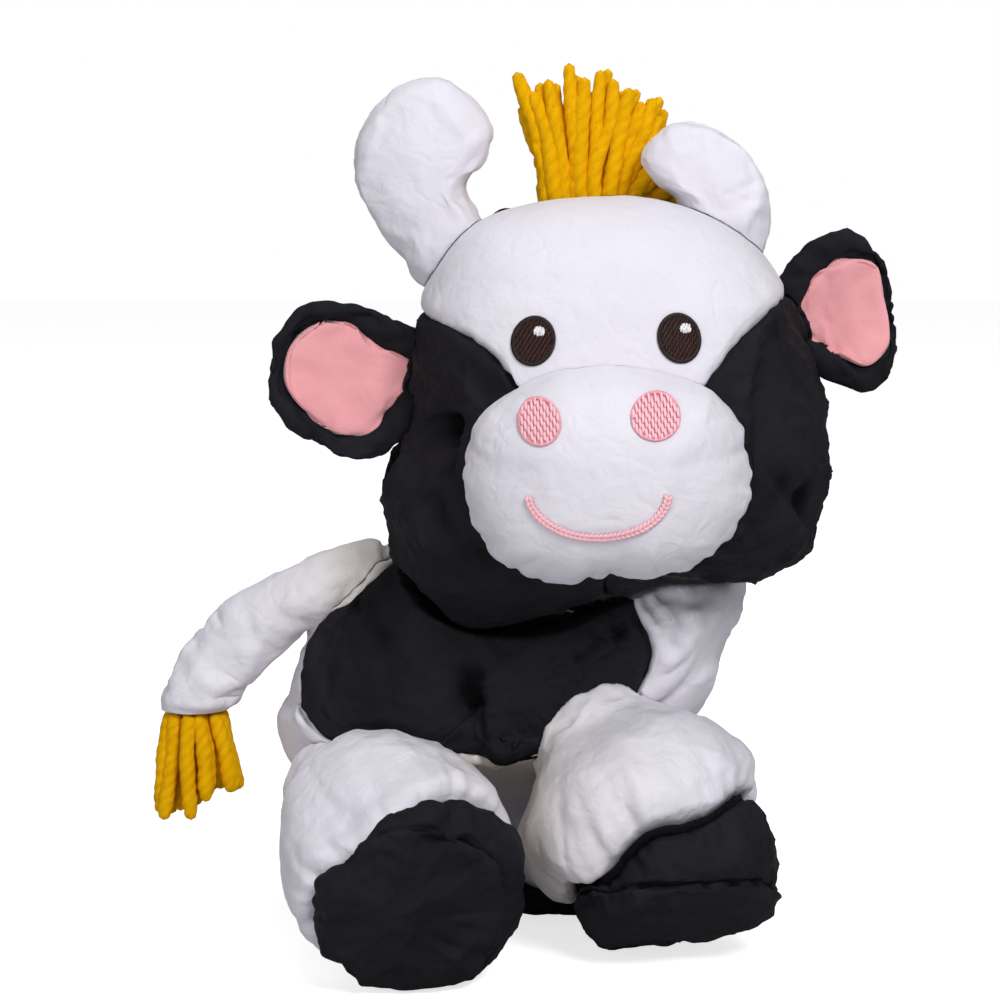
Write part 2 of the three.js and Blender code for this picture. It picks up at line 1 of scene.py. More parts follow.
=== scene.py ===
"""A stuffed toy cow of thin puffy nylon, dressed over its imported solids.

Lengths are millimetres of the drawing, whose origin lies ORIGIN away from the frame's, and a
mesh is made in metres in the frame. The viewer is at -Y, and left and right are as seen. Every
stuffed form is a grid of points, worked out as whole arrays, with rows from pole to pole and
columns round it. Its panels are parts of the grid, so that they meet exactly along their seams.
"""

import logging
import math
from collections.abc import Callable
from dataclasses import dataclass
from enum import Enum

import bpy
import numpy as np
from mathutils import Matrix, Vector


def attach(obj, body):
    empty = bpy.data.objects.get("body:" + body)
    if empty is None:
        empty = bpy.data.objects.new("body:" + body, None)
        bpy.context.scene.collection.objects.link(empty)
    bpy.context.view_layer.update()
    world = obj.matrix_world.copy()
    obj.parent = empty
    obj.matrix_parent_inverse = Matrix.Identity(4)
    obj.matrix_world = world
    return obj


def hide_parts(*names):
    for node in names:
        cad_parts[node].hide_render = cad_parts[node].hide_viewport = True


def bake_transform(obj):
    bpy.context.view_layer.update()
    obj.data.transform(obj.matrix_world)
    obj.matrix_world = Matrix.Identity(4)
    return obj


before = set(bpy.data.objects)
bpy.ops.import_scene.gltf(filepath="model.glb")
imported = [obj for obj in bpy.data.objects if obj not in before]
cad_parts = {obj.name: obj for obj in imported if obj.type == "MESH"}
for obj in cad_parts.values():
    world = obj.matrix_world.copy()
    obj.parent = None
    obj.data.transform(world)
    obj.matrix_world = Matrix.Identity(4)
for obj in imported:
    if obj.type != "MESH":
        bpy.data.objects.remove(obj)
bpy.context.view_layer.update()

LOG = logging.getLogger("cow")

ORIGIN = np.array([8.0, -29.0, 0.0])
TO_METRES = 0.001
FLOOR_SOFTNESS = 5.0
THICKNESS = 1.0
POLE_GIRTH = 30.0
HEAD_MARGIN = 2.2
SHORTEST_RELIEF = 2.8
SHORTEST_MOVE = 10.0
BROAD_MOVE = 26.0
BROAD_HOLLOW = 11.0
BROAD_WALL = 5.0
PUCKERS = ((8.0, 0.45), (17.0, 0.7), (38.0, 0.8))
PLEAT_SPACING = 15.0
NEAREST_MARGIN = 40.0
NEAREST_BATCH = 6_000_000
COARSE = 2
SIMULATED_FRAMES = 16
MASS_BY_AREA = 0.018
SIMULATED_CLOTH = {
    "quality": 5, "tension_stiffness": 12.0, "compression_stiffness": 12.0,
    "shear_stiffness": 4.0, "bending_stiffness": 0.3, "use_pressure": True,
    "vertex_group_mass": "held",
}
QUARTER = math.pi / 2
UP = np.array([0.0, 0.0, 1.0])
SIDEWAYS = np.array([0.0, 1.0, 0.0])

Spot = tuple[float, float]
Pairs = tuple[Spot, ...]
Place = tuple[float, float, float]
Color = tuple[int, int, int]


# Lines and fields


def in_frame(points: np.ndarray) -> np.ndarray:
    """Points of the drawing, in millimetres, as points of the frame in metres."""
    return (points - ORIGIN) * TO_METRES


def eased(low: float, high: float, value: np.ndarray) -> np.ndarray:
    """A smooth step from 0 at low to 1 at high: 3 s^2 - 2 s^3 of the share s of the way."""
    share = np.clip((value - low) / (high - low), 0.0, 1.0)
    return share * share * (3.0 - 2.0 * share)


def circle(count: int) -> np.ndarray:
    """Equally spaced angles all the way round, in radians."""
    return 2 * math.pi * np.arange(count) / count


def leaned(x: np.ndarray, z: np.ndarray, lean: float) -> tuple[np.ndarray, np.ndarray]:
    """Places in X and Z turned anticlockwise about the origin."""
    along, up = math.cos(lean), math.sin(lean)
    return x * along - z * up, x * up + z * along


def in_oval(x: np.ndarray, z: np.ndarray, size: Spot, lean: float) -> np.ndarray:
    """Less than 1 in an oval about the origin that leans anticlockwise."""
    along, up = leaned(x, z, -lean)
    return np.hypot(along / size[0], up / size[1])


def unit(ways: np.ndarray, least: float = 1e-9) -> np.ndarray:
    """Ways at a length of 1, but shorter where they are shorter than the least length."""
    return ways / np.maximum(np.linalg.norm(ways, axis=-1, keepdims=True), least)


def steps_of(line: np.ndarray) -> np.ndarray:
    """How far apart each two points of a line lie that follow each other."""
    return np.linalg.norm(np.diff(line, axis=0), axis=1)


def smooth_line(points: np.ndarray, closed: bool, per_span: int = 24) -> np.ndarray:
    """A line through points: the centripetal Catmull-Rom curve.

    Between two points it is three rounds of straight blends, whose knots lie the square root
    of the points' distance apart.

    Args:
        points: the points, one a row.
        closed: whether the line returns to its first point.
        per_span: samples from one point to the next.

    Returns:
        The samples, one a row. An open line ends on its last point.
    """
    if closed:
        p = np.vstack([points[-1:], points, points[:2]])
    else:
        p = np.vstack([2 * points[:1] - points[1:2], points, 2 * points[-1:] - points[-2:-1]])
    chords = np.sqrt(steps_of(p))
    k1 = chords[:-2][:, None, None]
    k2 = k1 + chords[1:-1][:, None, None]
    k3 = k2 + chords[2:][:, None, None]
    t = k1 + (k2 - k1) * (np.arange(per_span) / per_span)[None, :, None]
    a, b, c, d = (p[i:len(p) - 3 + i, None, :] for i in range(4))
    ab = a * (k1 - t) / k1 + b * t / k1
    bc = b * (k2 - t) / (k2 - k1) + c * (t - k1) / (k2 - k1)
    cd = c * (k3 - t) / (k3 - k2) + d * (t - k2) / (k3 - k2)
    abc = ab * (k2 - t) / k2 + bc * t / k2
    bcd = bc * (k3 - t) / (k3 - k1) + cd * (t - k1) / (k3 - k1)
    line = (abc * (k2 - t) / (k2 - k1) + bcd * (t - k1) / (k2 - k1)).reshape(-1, p.shape[1])
    return line if closed else np.vstack([line, points[-1:]])


def evenly(line: np.ndarray, count: int, closed: bool) -> np.ndarray:
    """The same line at equally spaced points, by its length so far.

    Args:
        line: the points of the line, close together.
        count: how many points to return.
        closed: whether the last point joins the first.

    Returns:
        The points.
    """
    whole = np.vstack([line, line[:1]]) if closed else line
    length = np.concatenate([[0.0], np.cumsum(steps_of(whole))])
    at = np.linspace(0.0, length[-1], count, endpoint=not closed)
    return np.stack([np.interp(at, length, axis) for axis in whole.T], axis=1)


def outline(points: Pairs, count: int) -> np.ndarray:
    """A closed outline in X and Z at equally spaced points, anticlockwise to the viewer.

    Args:
        points: a few points that the smooth outline passes through.
        count: how many points to return.

    Returns:
        The points.
    """
    line = evenly(smooth_line(np.array(points, float), True), count, True)
    x, z = line.T
    area = np.sum(x * np.roll(z, -1) - z * np.roll(x, -1))
    return line if area > 0 else line[::-1]


def radius_by_angle(points: Pairs, centre: Spot, angle: np.ndarray) -> np.ndarray:
    """How far a closed outline lies from a centre, in each direction.

    Args:
        points: a few points that the smooth outline passes through.
        centre: the centre, which sees the whole outline.
        angle: the directions, in radians.

    Returns:
        The distance in each direction.
    """
    line = smooth_line(np.array(points, float), True, 40) - np.array(centre)
    turn = np.arctan2(line[:, 1], line[:, 0])
    order = np.argsort(turn)
    far = np.hypot(line[:, 0], line[:, 1])[order]
    return np.interp(angle, turn[order], far, period=2 * math.pi)


def stretched(stations: list[np.ndarray | float], counts: list[int]) -> np.ndarray:
    """Rows of a value that passes through stations, closer together near each.

    Half of each stretch's spacing is even and half follows a cosine.

    Args:
        stations: the values at the ends of the stretches, each a number or one for each column.
        counts: how many rows each stretch takes.

    Returns:
        The value at each row, rows by columns.
    """
    columns = np.broadcast_arrays(*[np.atleast_1d(np.asarray(s, float)) for s in stations])
    rows = []
    for start, end, count in zip(columns[:-1], columns[1:], counts):
        share = np.arange(count) / count
        share = 0.5 * share + 0.25 * (1.0 - np.cos(math.pi * share))
        rows.append(start + (end - start) * share[:, None])
    return np.vstack([*rows, columns[-1][None, :]])


def lumps(points: np.ndarray, wavelength: float, seed: int) -> np.ndarray:
    """A smooth unevenness between about -1 and 1.

    It is the mean of nine sine waves in random directions, about a wavelength long, times 1.6.

    Args:
        points: any array of points.
        wavelength: the mean length of the waves.
        seed: seed of the random waves.

    Returns:
        The unevenness at each point.
    """
    rng = np.random.default_rng(seed)
    waves = rng.normal(size=(9, 3))
    waves *= 2 * math.pi / (wavelength * np.linalg.norm(waves, axis=1, keepdims=True))
    waves *= rng.uniform(0.75, 1.3, (9, 1))
    phases = rng.uniform(0.0, 2 * math.pi, 9)
    return 1.6 * np.mean(np.sin(points @ waves.T + phases), axis=-1)


def uneven(points: np.ndarray, seed: int, layers: Pairs) -> np.ndarray:
    """Lumps in layers, each of a height and a wavelength."""
    return sum(high * lumps(points, size, seed + k) for k, (high, size) in enumerate(layers))


def crumples(points: np.ndarray, wavelength: float, seed: int) -> np.ndarray:
    """Pinched crests between soft hollows, from 0 to 1.

    The crests lie where a random field of waves crosses 0: their height is the square of 1
    less the field's size over 0.45, where that is above 0, times the smooth step of a second
    field of waves twice as long, so that each crest dies away somewhere.

    Args:
        points: any array of points.
        wavelength: the wavelength of the first field.
        seed: seed of the random fields.

    Returns:
        The height at each point.
    """
    bent = points + 0.2 * wavelength * lumps(points, 1.6 * wavelength, seed + 200)[..., None]
    field = np.abs(lumps(bent, wavelength, seed)) / 0.45
    strong = eased(-0.4, 0.5, lumps(points, 2.0 * wavelength, seed + 100))
    return np.clip(1.0 - field, 0.0, None) ** 2 * strong


def wrinkles(points: np.ndarray, seed: int) -> np.ndarray:
    """Crumples in three sizes, 36, 17 and 9 mm apart, about a mean of 0."""
    layers = enumerate(((0.9, 36.0), (0.6, 17.0), (0.4, 9.0)), seed + 300)
    return sum(height * crumples(points, size, k) for k, (height, size) in layers) - 0.25


def gathers(
    along: np.ndarray, length: float, away: np.ndarray, wavelength: float, seed: int
) -> np.ndarray:
    """Puckers that a gathered seam sends out over the cloth, from 0 in a valley to 1.

    Between two valleys the cloth rises as the sine's power 0.8. The valleys' spacing and the
    height of each pucker vary at random. A pucker starts at nothing on the seam, is highest a
    third of a wavelength from it, and dies away over the next two.

    Args:
        along: the place along the seam.
        length: the seam's whole length, after which the puckers repeat.
        away: the distance from the seam.
        wavelength: the mean distance between two valleys.
        seed: seed of the random spacing.

    Returns:
        The height of the pucker at each place.
    """
    rng = np.random.default_rng(seed)
    count = max(3, round(length / wavelength))
    steps = rng.uniform(0.45, 1.55, count)
    knots = np.concatenate([[0.0], np.cumsum(steps) * length / steps.sum()])
    phase = np.interp(np.mod(along, length), knots, np.arange(count + 1.0))
    height = rng.uniform(0.25, 1.0, count)[np.minimum(phase.astype(int), count - 1)]
    rise = np.abs(np.sin(math.pi * phase)) ** 0.8
    fade = (1.0 - np.exp(-away / (0.16 * wavelength))) * np.exp(-away / (0.9 * wavelength))
    return 1.6 * rise * height * fade * eased(2.6 * wavelength, 1.2 * wavelength, away)


def pleats(
    along: np.ndarray, length: float, away: np.ndarray, spacing: float, seed: int
) -> np.ndarray:
    """Long narrow creases that run out from a gathered seam, valleys and a few crests.

    Across, each is e to the minus (off / width) to the power 1.4, with a width of 1.3 to 3.2 mm,
    and it leans a little as it goes out. It starts at nothing on the seam and ends 12 to 42 mm
    away. Two in three go down, the others up.

    Args:
        along: the place along the seam.
        length: the seam's whole length, after which the creases repeat.
        away: the distance from the seam.
        spacing: the mean distance between two creases.
        seed: seed of their places and sizes.

    Returns:
        The height at each place, between about -1 and 1.
    """
    rng = np.random.default_rng(seed)
    count = max(2, round(length / spacing))
    places = (np.arange(count) + rng.uniform(-0.45, 0.45, count)) * length / count
    total = np.zeros(np.broadcast_shapes(along.shape, away.shape))
    for place in places:
        wide, reach, lean = (rng.uniform(*r) for r in ((1.3, 3.2), (12.0, 42.0), (-0.4, 0.4)))
        height = rng.uniform(0.35, 1.0) * (1.0 if rng.random() < 0.33 else -1.0)
        off = np.mod(along - place - lean * away + length / 2, length) - length / 2
        ends = (1.0 - np.exp(-away / 2.0)) * (1.0 - eased(0.3 * reach, reach, away))
        total += height * np.exp(-((np.abs(off) / wide) ** 1.4)) * ends
    return total


def groove(away: np.ndarray, depth: float = 1.5, width: float = 2.0) -> np.ndarray:
    """The valley along a seam: minus the depth times e to the minus (away / width) squared."""
    return -depth * np.exp(-((away / width) ** 2))


@dataclass(frozen=True)
class Crease:
    """A fold in the cloth along a straight line in X and Z.

    The cloth stands up by `rise` on the line's left side, falls to nothing within `sharp` of
    the line on the right side, and over `reach` on the left.
    """

    start: Spot
    end: Spot
    rise: float
    sharp: float = 1.6
    reach: float = 14.0

    def height(self, x: np.ndarray, z: np.ndarray) -> np.ndarray:
        """How far the cloth stands up at places in X and Z.

        Args:
            x: the places in X.
            z: the places in Z.

        Returns:
            The height at each place.
        """
        ax, az = self.start
        bx, bz = self.end
        length = math.hypot(bx - ax, bz - az)
        ux, uz = (bx - ax) / length, (bz - az) / length
        along = ((x - ax) * ux + (z - az) * uz) / length
        side = (z - az) * ux - (x - ax) * uz
        edge = 1.0 / (1.0 + np.exp(-np.clip(side / self.sharp, -40.0, 40.0)))
        ends = eased(-0.15, 0.3, along) * (1.0 - eased(0.7, 1.15, along))
        return self.rise * edge * np.exp(-np.maximum(side, 0.0) / self.reach) * ends


def folded(folds: tuple[Crease, ...], points: np.ndarray) -> np.ndarray | float:
    """How far the folds together lift the cloth at some points."""
    return sum(fold.height(points[..., 0], points[..., 2]) for fold in folds)


@dataclass(frozen=True)
class Nudge:
    """A swelling or a dent: a shift of the cloth round a place, by a bell as wide as its size."""

    place: Place
    shift: Place
    size: float


def nudged(points: np.ndarray, nudges: tuple[Nudge, ...]) -> np.ndarray:
    """Points moved by every nudge: its shift times e to the minus (distance / size) squared.

    Args:
        points: any array of points.
        nudges: the nudges.

    Returns:
        The moved points.
    """
    moved = points.copy()
    for nudge in nudges:
        off = np.linalg.norm(points - np.array(nudge.place), axis=-1) / nudge.size
        moved += np.exp(-(off**2))[..., None] * np.array(nudge.shift, float)
    return moved


@dataclass(frozen=True)
class Fabric:
    """How the cloth of a stuffed form lies, with lengths in millimetres.

    Attributes:
        gather: the height of the puckers along its main seam.
        below: how far it lies inside its form.
        wrinkle: the height of its wrinkles.
        lumps: the height and the wavelength of each layer of its unevenness.
        cap: how far the simulation may move it.
        loose: the share of that movement that it keeps.
        growth: how much larger it is cut than its form, as a share.
        pressure: the simulation's uniform pressure.
    """

    gather: float
    below: float
    wrinkle: float
    lumps: Pairs
    cap: float = 3.5
    loose: float = 1.0
    growth: float = 0.045
    pressure: float = 3.0


# Stuffed forms


@dataclass(frozen=True)
class Puff:
    """An outline in X and Z puffed up to a near and a far pole.

    At a turn from +90 degrees at the near pole to -90 at the far one, the outline is scaled
    about the centre by cos(turn)^fullness, and the depth is that side's times
    sin(turn)^fullness. Towards the poles the outline's corners are smoothed away.
    """

    centre: Place
    points: Pairs
    near: float
    far: float
    fullness: float = 0.86

    def surface(self, rim: np.ndarray, turn: np.ndarray) -> np.ndarray:
        """Points of the form.

        Args:
            rim: points of the outline, columns by 2 or rows by columns by 2.
            turn: the turn at each row, or at each row and column.

        Returns:
            The points, rows by columns by 3.
        """
        cx, cy, cz = self.centre
        wide = np.clip(np.cos(turn), 0.0, 1.0) ** self.fullness
        reach = np.sign(turn) * np.abs(np.sin(turn)) ** self.fullness
        depth = np.where(turn > 0, self.near, self.far)
        dx, dz = rim[..., 0] - cx, rim[..., 1] - cz
        even = self.even_reach(np.arctan2(dz, dx)) / np.hypot(dx, dz)
        wide = wide * (even + (1.0 - even) * eased(0.1, 0.62, wide))
        axes = np.broadcast_arrays(cx + dx * wide, cy - depth * reach, cz + dz * wide)
        return np.stack(axes, axis=-1)

    def share_of(self, rim: np.ndarray, points: Pairs) -> np.ndarray:
        """How far another outline lies from the centre, as a share of the rim's distance.

        Args:
            rim: the points of the rim, in X and Z.
            points: the other outline.

        Returns:
            The share in each of the rim's directions.
        """
        off = rim - np.array(self.centre[::2])
        other = radius_by_angle(points, self.centre[::2], np.arctan2(off[:, 1], off[:, 0]))
        return other / np.hypot(off[:, 0], off[:, 1])

    def even_reach(self, angle: np.ndarray) -> np.ndarray:
        """How far the outline lies in each direction, as its mean and its two slowest waves.

        Args:
            angle: the directions, in radians.

        Returns:
            The distance in each direction.
        """
        reach = radius_by_angle(self.points, self.centre[::2], circle(128))
        waves = np.fft.rfft(reach) / len(reach)
        spin = np.exp(1j * angle[..., None] * np.arange(1, 3))
        return waves[0].real + 2.0 * np.real(spin * waves[1:3]).sum(-1)

    def turn_at(self, share: np.ndarray) -> np.ndarray:
        """The turn at which the outline is scaled by a share."""
        return np.arccos(np.clip(share, 0.0, 1.0) ** (1.0 / self.fullness))

    def gauge(self, points: np.ndarray, margin: float = 0.0) -> np.ndarray:
        """1 on the form grown by a margin, less inside it and more outside.

        It is the root of order n of the sum of the share of the outline and the share of the
        depth, each to the power n = 2 / fullness.

        Args:
            points: any array of points.
            margin: how far the form is grown.

        Returns:
            The value at each point.
        """
        dx, dy, dz = (points[..., i] - self.centre[i] for i in range(3))
        rim = radius_by_angle(self.points, self.centre[::2], np.arctan2(dz, dx)) + margin
        depth = np.where(dy < 0, self.near, self.far) + margin
        power = 2.0 / self.fullness
        share = np.hypot(dx, dz) / rim
        return (share**power + (np.abs(dy) / depth) ** power) ** (1.0 / power)


TORSO = Puff(
    centre=(2, 12, 100),
    points=(
        (-86, 70), (-84, 88), (-76, 106), (-63, 123), (-43, 140), (-10, 151), (40, 151),
        (78, 146), (96, 130), (93, 112), (86, 95), (76, 76), (50, 60), (0, 56), (-46, 52),
        (-76, 54),
    ),
    near=62,
    far=62,
)
HEAD = Puff(
    centre=(40, -31, 196),
    points=(
        (-28, 246), (-31, 222), (-36, 194), (-45, 168), (-40, 144), (-22, 125), (-2, 119.5),
        (20, 122), (42, 131), (62, 137), (80, 135.5), (98, 137), (112, 144), (119, 155),
        (126, 182), (121, 212), (108, 244),
        (92, 266), (66, 279), (40, 282), (10, 279), (-12, 270),
    ),
    near=58,
    far=56,
)
HEAD_TURN = (-20.0, 20.0)


def turned_about(points: np.ndarray, pivot: Place, axis: int, degrees: float) -> np.ndarray:
    """Points turned about a frame axis through a pivot, by the right-hand rule.

    Args:
        points: any array of points.
        pivot: a point of the axis.
        axis: 0 for X, 1 for Y and 2 for Z.
        degrees: the angle.

    Returns:
        The turned points.
    """
    a, b = (axis + 1) % 3, (axis + 2) % 3
    angle = math.radians(degrees)
    moved = points - np.array(pivot)
    out = moved.copy()
    out[..., a] = moved[..., a] * math.cos(angle) - moved[..., b] * math.sin(angle)
    out[..., b] = moved[..., a] * math.sin(angle) + moved[..., b] * math.cos(angle)
    return out + np.array(pivot)


def head_room(points: np.ndarray) -> np.ndarray:
    """Less than 1 where the head, grown by a margin, passes: its least gauge at nine turns."""
    turns = (turned_about(points, HEAD.centre, 2, t) for t in np.linspace(*HEAD_TURN, 9))
    return np.min([HEAD.gauge(turned, HEAD_MARGIN) for turned in turns], axis=0)


def clear_of(
    points: np.ndarray, room: Callable[[np.ndarray], np.ndarray], step: np.ndarray
) -> np.ndarray:
    """Slides the points that lie in a room until they are out of it.

    The share of the step that takes each one out is found by halving.

    Args:
        points: any array of points.
        room: a function of points, less than 1 inside the room.
        step: the step that surely takes a point out, one for all or one for each.

    Returns:
        The points, with those that were inside on the room's wall.
    """
    moved = points.copy()
    inside = room(points) < 1.0
    start = points[inside]
    way = np.broadcast_to(step, points.shape)[inside]
    low, high = np.zeros((len(start), 1)), np.ones((len(start), 1))
    for _ in range(11):
        middle = (low + high) / 2
        hit = (room(start + way * middle) < 1.0)[:, None]
        low, high = np.where(hit, middle, low), np.where(hit, high, middle)
    moved[inside] = start + way * high
    return moved


def on_floor(points: np.ndarray) -> np.ndarray:
    """Presses what hangs low flat on the floor.

    Below a height h, the softness, a height z becomes h times e to the (z - h) / h.

    Args:
        points: any array of points.

    Returns:
        The points, none of them below the floor.
    """
    low = np.minimum(points[..., 2], FLOOR_SOFTNESS)
    pressed = FLOOR_SOFTNESS * np.exp((low - FLOOR_SOFTNESS) / FLOOR_SOFTNESS)
    height = np.where(points[..., 2] < FLOOR_SOFTNESS, pressed, points[..., 2])
    return np.concatenate([points[..., :2], height[..., None]], axis=-1)


class Cut(Enum):
    """How a panel's cloth was laid flat."""

    FRONT = "round the first pole"
    BACK = "round the last pole"
    TUBE = "rolled round"


class Skin:
    """A closed stuffed form as a grid of points from pole to pole."""

    def __init__(self, points: np.ndarray) -> None:
        """Takes the grid, rows by columns by 3, whose first and last rows are the poles.

        Args:
            points: the grid's points.
        """
        self.points = points.copy()
        steps = np.linalg.norm(np.roll(points, -1, 1) - points, axis=-1)
        self.girth = steps.sum(1)
        self.around = np.cumsum(steps, 1) - steps
        down = np.linalg.norm(np.diff(points, axis=0), axis=-1)
        self.down = np.vstack([np.zeros((1, points.shape[1])), np.cumsum(down, 0)])
        # The share of the finish's second tint at each point, which is partly painted shade.
        self.tint_and_shade = np.zeros(points.shape[:2])
        self.sign = 1.0
        outward = self.normals() * (points - points.mean((0, 1)))
        self.sign = 1.0 if outward.sum() > 0 else -1.0

    def normals(self) -> np.ndarray:
        """The outward direction at each point: down the rows times round the columns.

        Returns:
            The unit directions.
        """
        p = self.points
        across = np.roll(p, -1, 1) - np.roll(p, 1, 1)
        normal = self.sign * np.cross(np.gradient(p, axis=0), across)
        normal[0], normal[-1] = normal[1].mean(0), normal[-2].mean(0)
        return unit(normal)

    def calmed(self, field: np.ndarray, shortest: float) -> np.ndarray:
        """A field over the grid, without its waves round the rows shorter than a length.

        A wave fades out as its length falls from 1.3 to 0.7 of that length. Near a pole, where
        the columns crowd, the field stays at its mean round the first wide row.

        Args:
            field: a vector at each point.
            shortest: the length, in millimetres.

        Returns:
            The calmer field.
        """
        waves = np.fft.rfft(field, axis=1)
        number = np.maximum(np.arange(waves.shape[1]), 0.5)
        keep = eased(0.7, 1.3, self.girth[:, None] / number / shortest)
        keep[:, 0] = 1.0
        calm = np.fft.irfft(waves * keep[..., None], field.shape[1], axis=1)
        wide = np.flatnonzero(self.girth > POLE_GIRTH)
        into = eased(0.3, 1.6, self.girth / POLE_GIRTH)[:, None, None]
        half = np.arange(len(calm))[:, None, None] < len(calm) / 2
        ends = np.where(half, calm[wide[0]].mean(0), calm[wide[-1]].mean(0))
        return ends + (calm - ends) * into

    def broad(self, field: np.ndarray, size: float) -> np.ndarray:
        """What a field over the grid does over more than a size.

        It is the waves round the rows that are longer than three times the size, averaged down
        the rows under a bell as wide as the size.

        Args:
            field: a vector at each point.
            size: the size, in millimetres.

        Returns:
            The broad part of the field.
        """
        down = self.down.mean(1)
        weight = np.exp(-(((down[:, None] - down) / size) ** 2)) * np.gradient(down)
        slow = np.tensordot(weight, self.calmed(field, 3.0 * size), 1)
        return slow / weight.sum(1)[:, None, None]

    def hollow_shade(self) -> np.ndarray:
        """How deep each point lies under the cloth round it, from 0 at 0.3 mm to 1 at 3.4 mm.

        The share is painted as shade in the hollows of the cloth.

        Returns:
            The depth at each point, as a share.
        """
        under = self.broad(self.points, BROAD_HOLLOW) - self.points
        deep = (under * self.normals()).sum(-1)
        return eased(0.3, 3.4, deep)

    def held(self, *rows: int | slice, root: Puff | None = None) -> np.ndarray:
        """1 on some rows and where the skin is inside the form that it grows from, else 0.

        Args:
            rows: the rows that are held.
            root: the form that the skin grows from.

        Returns:
            The hold at each point.
        """
        held = np.zeros(self.points.shape[:2])
        for row in rows:
            held[row] = 1.0
        if root:
            held[root.gauge(self.points) < 1.0] = 1.0
        return held

    def push(self, amount: np.ndarray) -> None:
        """Moves each point outwards by an amount."""
        self.points += self.calmed(self.normals() * amount[..., None], SHORTEST_RELIEF)

    def from_row(self, row: int) -> np.ndarray:
        """The distance of each point from a row, down the columns."""
        return np.abs(self.down - self.down[row])

    def from_column(self, column: int) -> np.ndarray:
        """The distance of each point from a column, round the rows, the shorter way."""
        off = np.abs(self.around - self.around[:, column:column + 1])
        return np.minimum(off, self.girth[:, None] - off)

    def gather_row(self, row: int, height: float, seed: int, sides: float = 0.0) -> np.ndarray:
        """Puckers along a row in three sizes, each with its share of the height.

        Args:
            row: the seam's row.
            height: the height of the coarsest puckers, in millimetres.
            seed: seed of the puckers.
            sides: 0 for both sides, -1 for the rows before the seam, 1 for those after it.

        Returns:
            How far each point is pushed outwards.
        """
        away, length = self.from_row(row), self.girth[row]
        index = np.arange(len(away))[:, None]
        total = np.zeros_like(away)
        for i, (wavelength, share) in enumerate(PUCKERS):
            for after, keep in enumerate((index <= row, index > row)):
                along = self.around[row][None, :] + 3.0 * after
                wave = share * gathers(along, length, away, wavelength, seed + 10 * i + after)
                pleat_seed = seed + 30 * i + after + 400
                wave += 0.5 * pleats(along, length, away, PLEAT_SPACING, pleat_seed)
                total += np.where(keep, wave, 0.0)
        if sides:
            total = np.where((index - row) * sides >= 0, total, 0.0)
        return height * total * eased(0.15, 0.6, self.girth[:, None] / length)

    def inflate(
        self, pinned: np.ndarray, fabric: Fabric, loose: np.ndarray | float = 1.0
    ) -> None:
        """Blows the skin up as cloth that is a little too large for its form.

        A coarse copy of the grid is simulated with Blender's cloth, its seams held still, and
        its movement is carried back to the grid with smooth steps between its points. The
        broad part of the movement outwards is left out, so that the form keeps its outline.

        Args:
            pinned: how firmly each point is held, from 0 to 1.
            fabric: the cloth.
            loose: a further share of the movement to keep, one for all or one for each point.
        """
        grid = self.points[::COARSE, ::COARSE]
        rows, columns = grid.shape[:2]
        ids, faces = grid_faces(rows, columns, True, True, True, self.sign)
        used, first = np.unique(ids, return_index=True)
        verts = grid.reshape(-1, 3)[first]
        mesh = bpy.data.meshes.new("blown")
        mesh.from_pydata((verts * TO_METRES).tolist(), [], faces)
        sheet = placed("blown", mesh)
        hold = sheet.vertex_groups.new(name="held")
        weights = pinned[::COARSE, ::COARSE].reshape(-1)[first]
        for level in np.unique(weights[weights > 0]):
            hold.add(np.flatnonzero(weights == level).tolist(), float(level), "REPLACE")
        across = (np.roll(grid, -1, 1) - np.roll(grid, 1, 1)) / 2
        area = np.linalg.norm(np.cross(np.gradient(grid, axis=0), across), axis=-1).mean()
        cloth = sheet.modifiers.new("Cloth", "CLOTH")
        settings = cloth.settings
        for key, value in SIMULATED_CLOTH.items():
            setattr(settings, key, value)
        settings.mass = MASS_BY_AREA * float(area)
        settings.uniform_pressure_force = fabric.pressure
        settings.shrink_min = -fabric.growth
        settings.effector_weights.gravity = 0.0
        cloth.collision_settings.use_collision = False
        cloth.point_cache.frame_end = SIMULATED_FRAMES
        scene = bpy.context.scene
        for number in range(1, SIMULATED_FRAMES + 1):
            scene.frame_set(number)
        result = sheet.evaluated_get(bpy.context.evaluated_depsgraph_get()).to_mesh()
        flat = np.empty(len(verts) * 3)
        result.vertices.foreach_get("co", flat)
        moved = flat.reshape(-1, 3) / TO_METRES - verts
        scene.frame_set(1)
        bpy.data.objects.remove(sheet)
        bpy.data.meshes.remove(mesh)
        length = np.linalg.norm(moved, axis=1, keepdims=True)
        moved *= fabric.cap * np.tanh(length / fabric.cap) / np.maximum(length, 1e-9)
        back = np.searchsorted(used, ids)
        fine = refined(moved[back].reshape(rows, columns, 3), self.points.shape[:2])
        fine = self.calmed(fine, SHORTEST_MOVE)
        normals = self.normals()
        outward = (fine * normals).sum(-1, keepdims=True)
        fine -= normals * self.broad(outward, BROAD_MOVE)
        self.points += fine * (fabric.loose * loose)

    def flat_map(self, cut: Cut) -> np.ndarray:
        """Where each point lies on the flat cloth, in millimetres, with the first column twice.

        Args:
            cut: how the cloth was laid flat.

        Returns:
            The places on the cloth.
        """
        closed = np.concatenate([self.around, self.girth[:, None]], axis=1)
        if cut is Cut.TUBE:
            scale = self.girth.max() / np.maximum(self.girth[:, None], 1e-6)
            down = np.concatenate([self.down, self.down[:, :1]], axis=1)
            return np.stack([closed * scale, down], axis=-1)
        turn = 2 * math.pi * closed / np.maximum(self.girth[:, None], 1e-6)
        turn[0], turn[-1] = turn[1], turn[-2]
        reach = self.down if cut is Cut.FRONT else self.down[-1:] - self.down
        reach = np.concatenate([reach, reach[:, :1]], axis=1)
        return np.stack([reach * np.cos(turn), reach * np.sin(turn)], axis=-1)

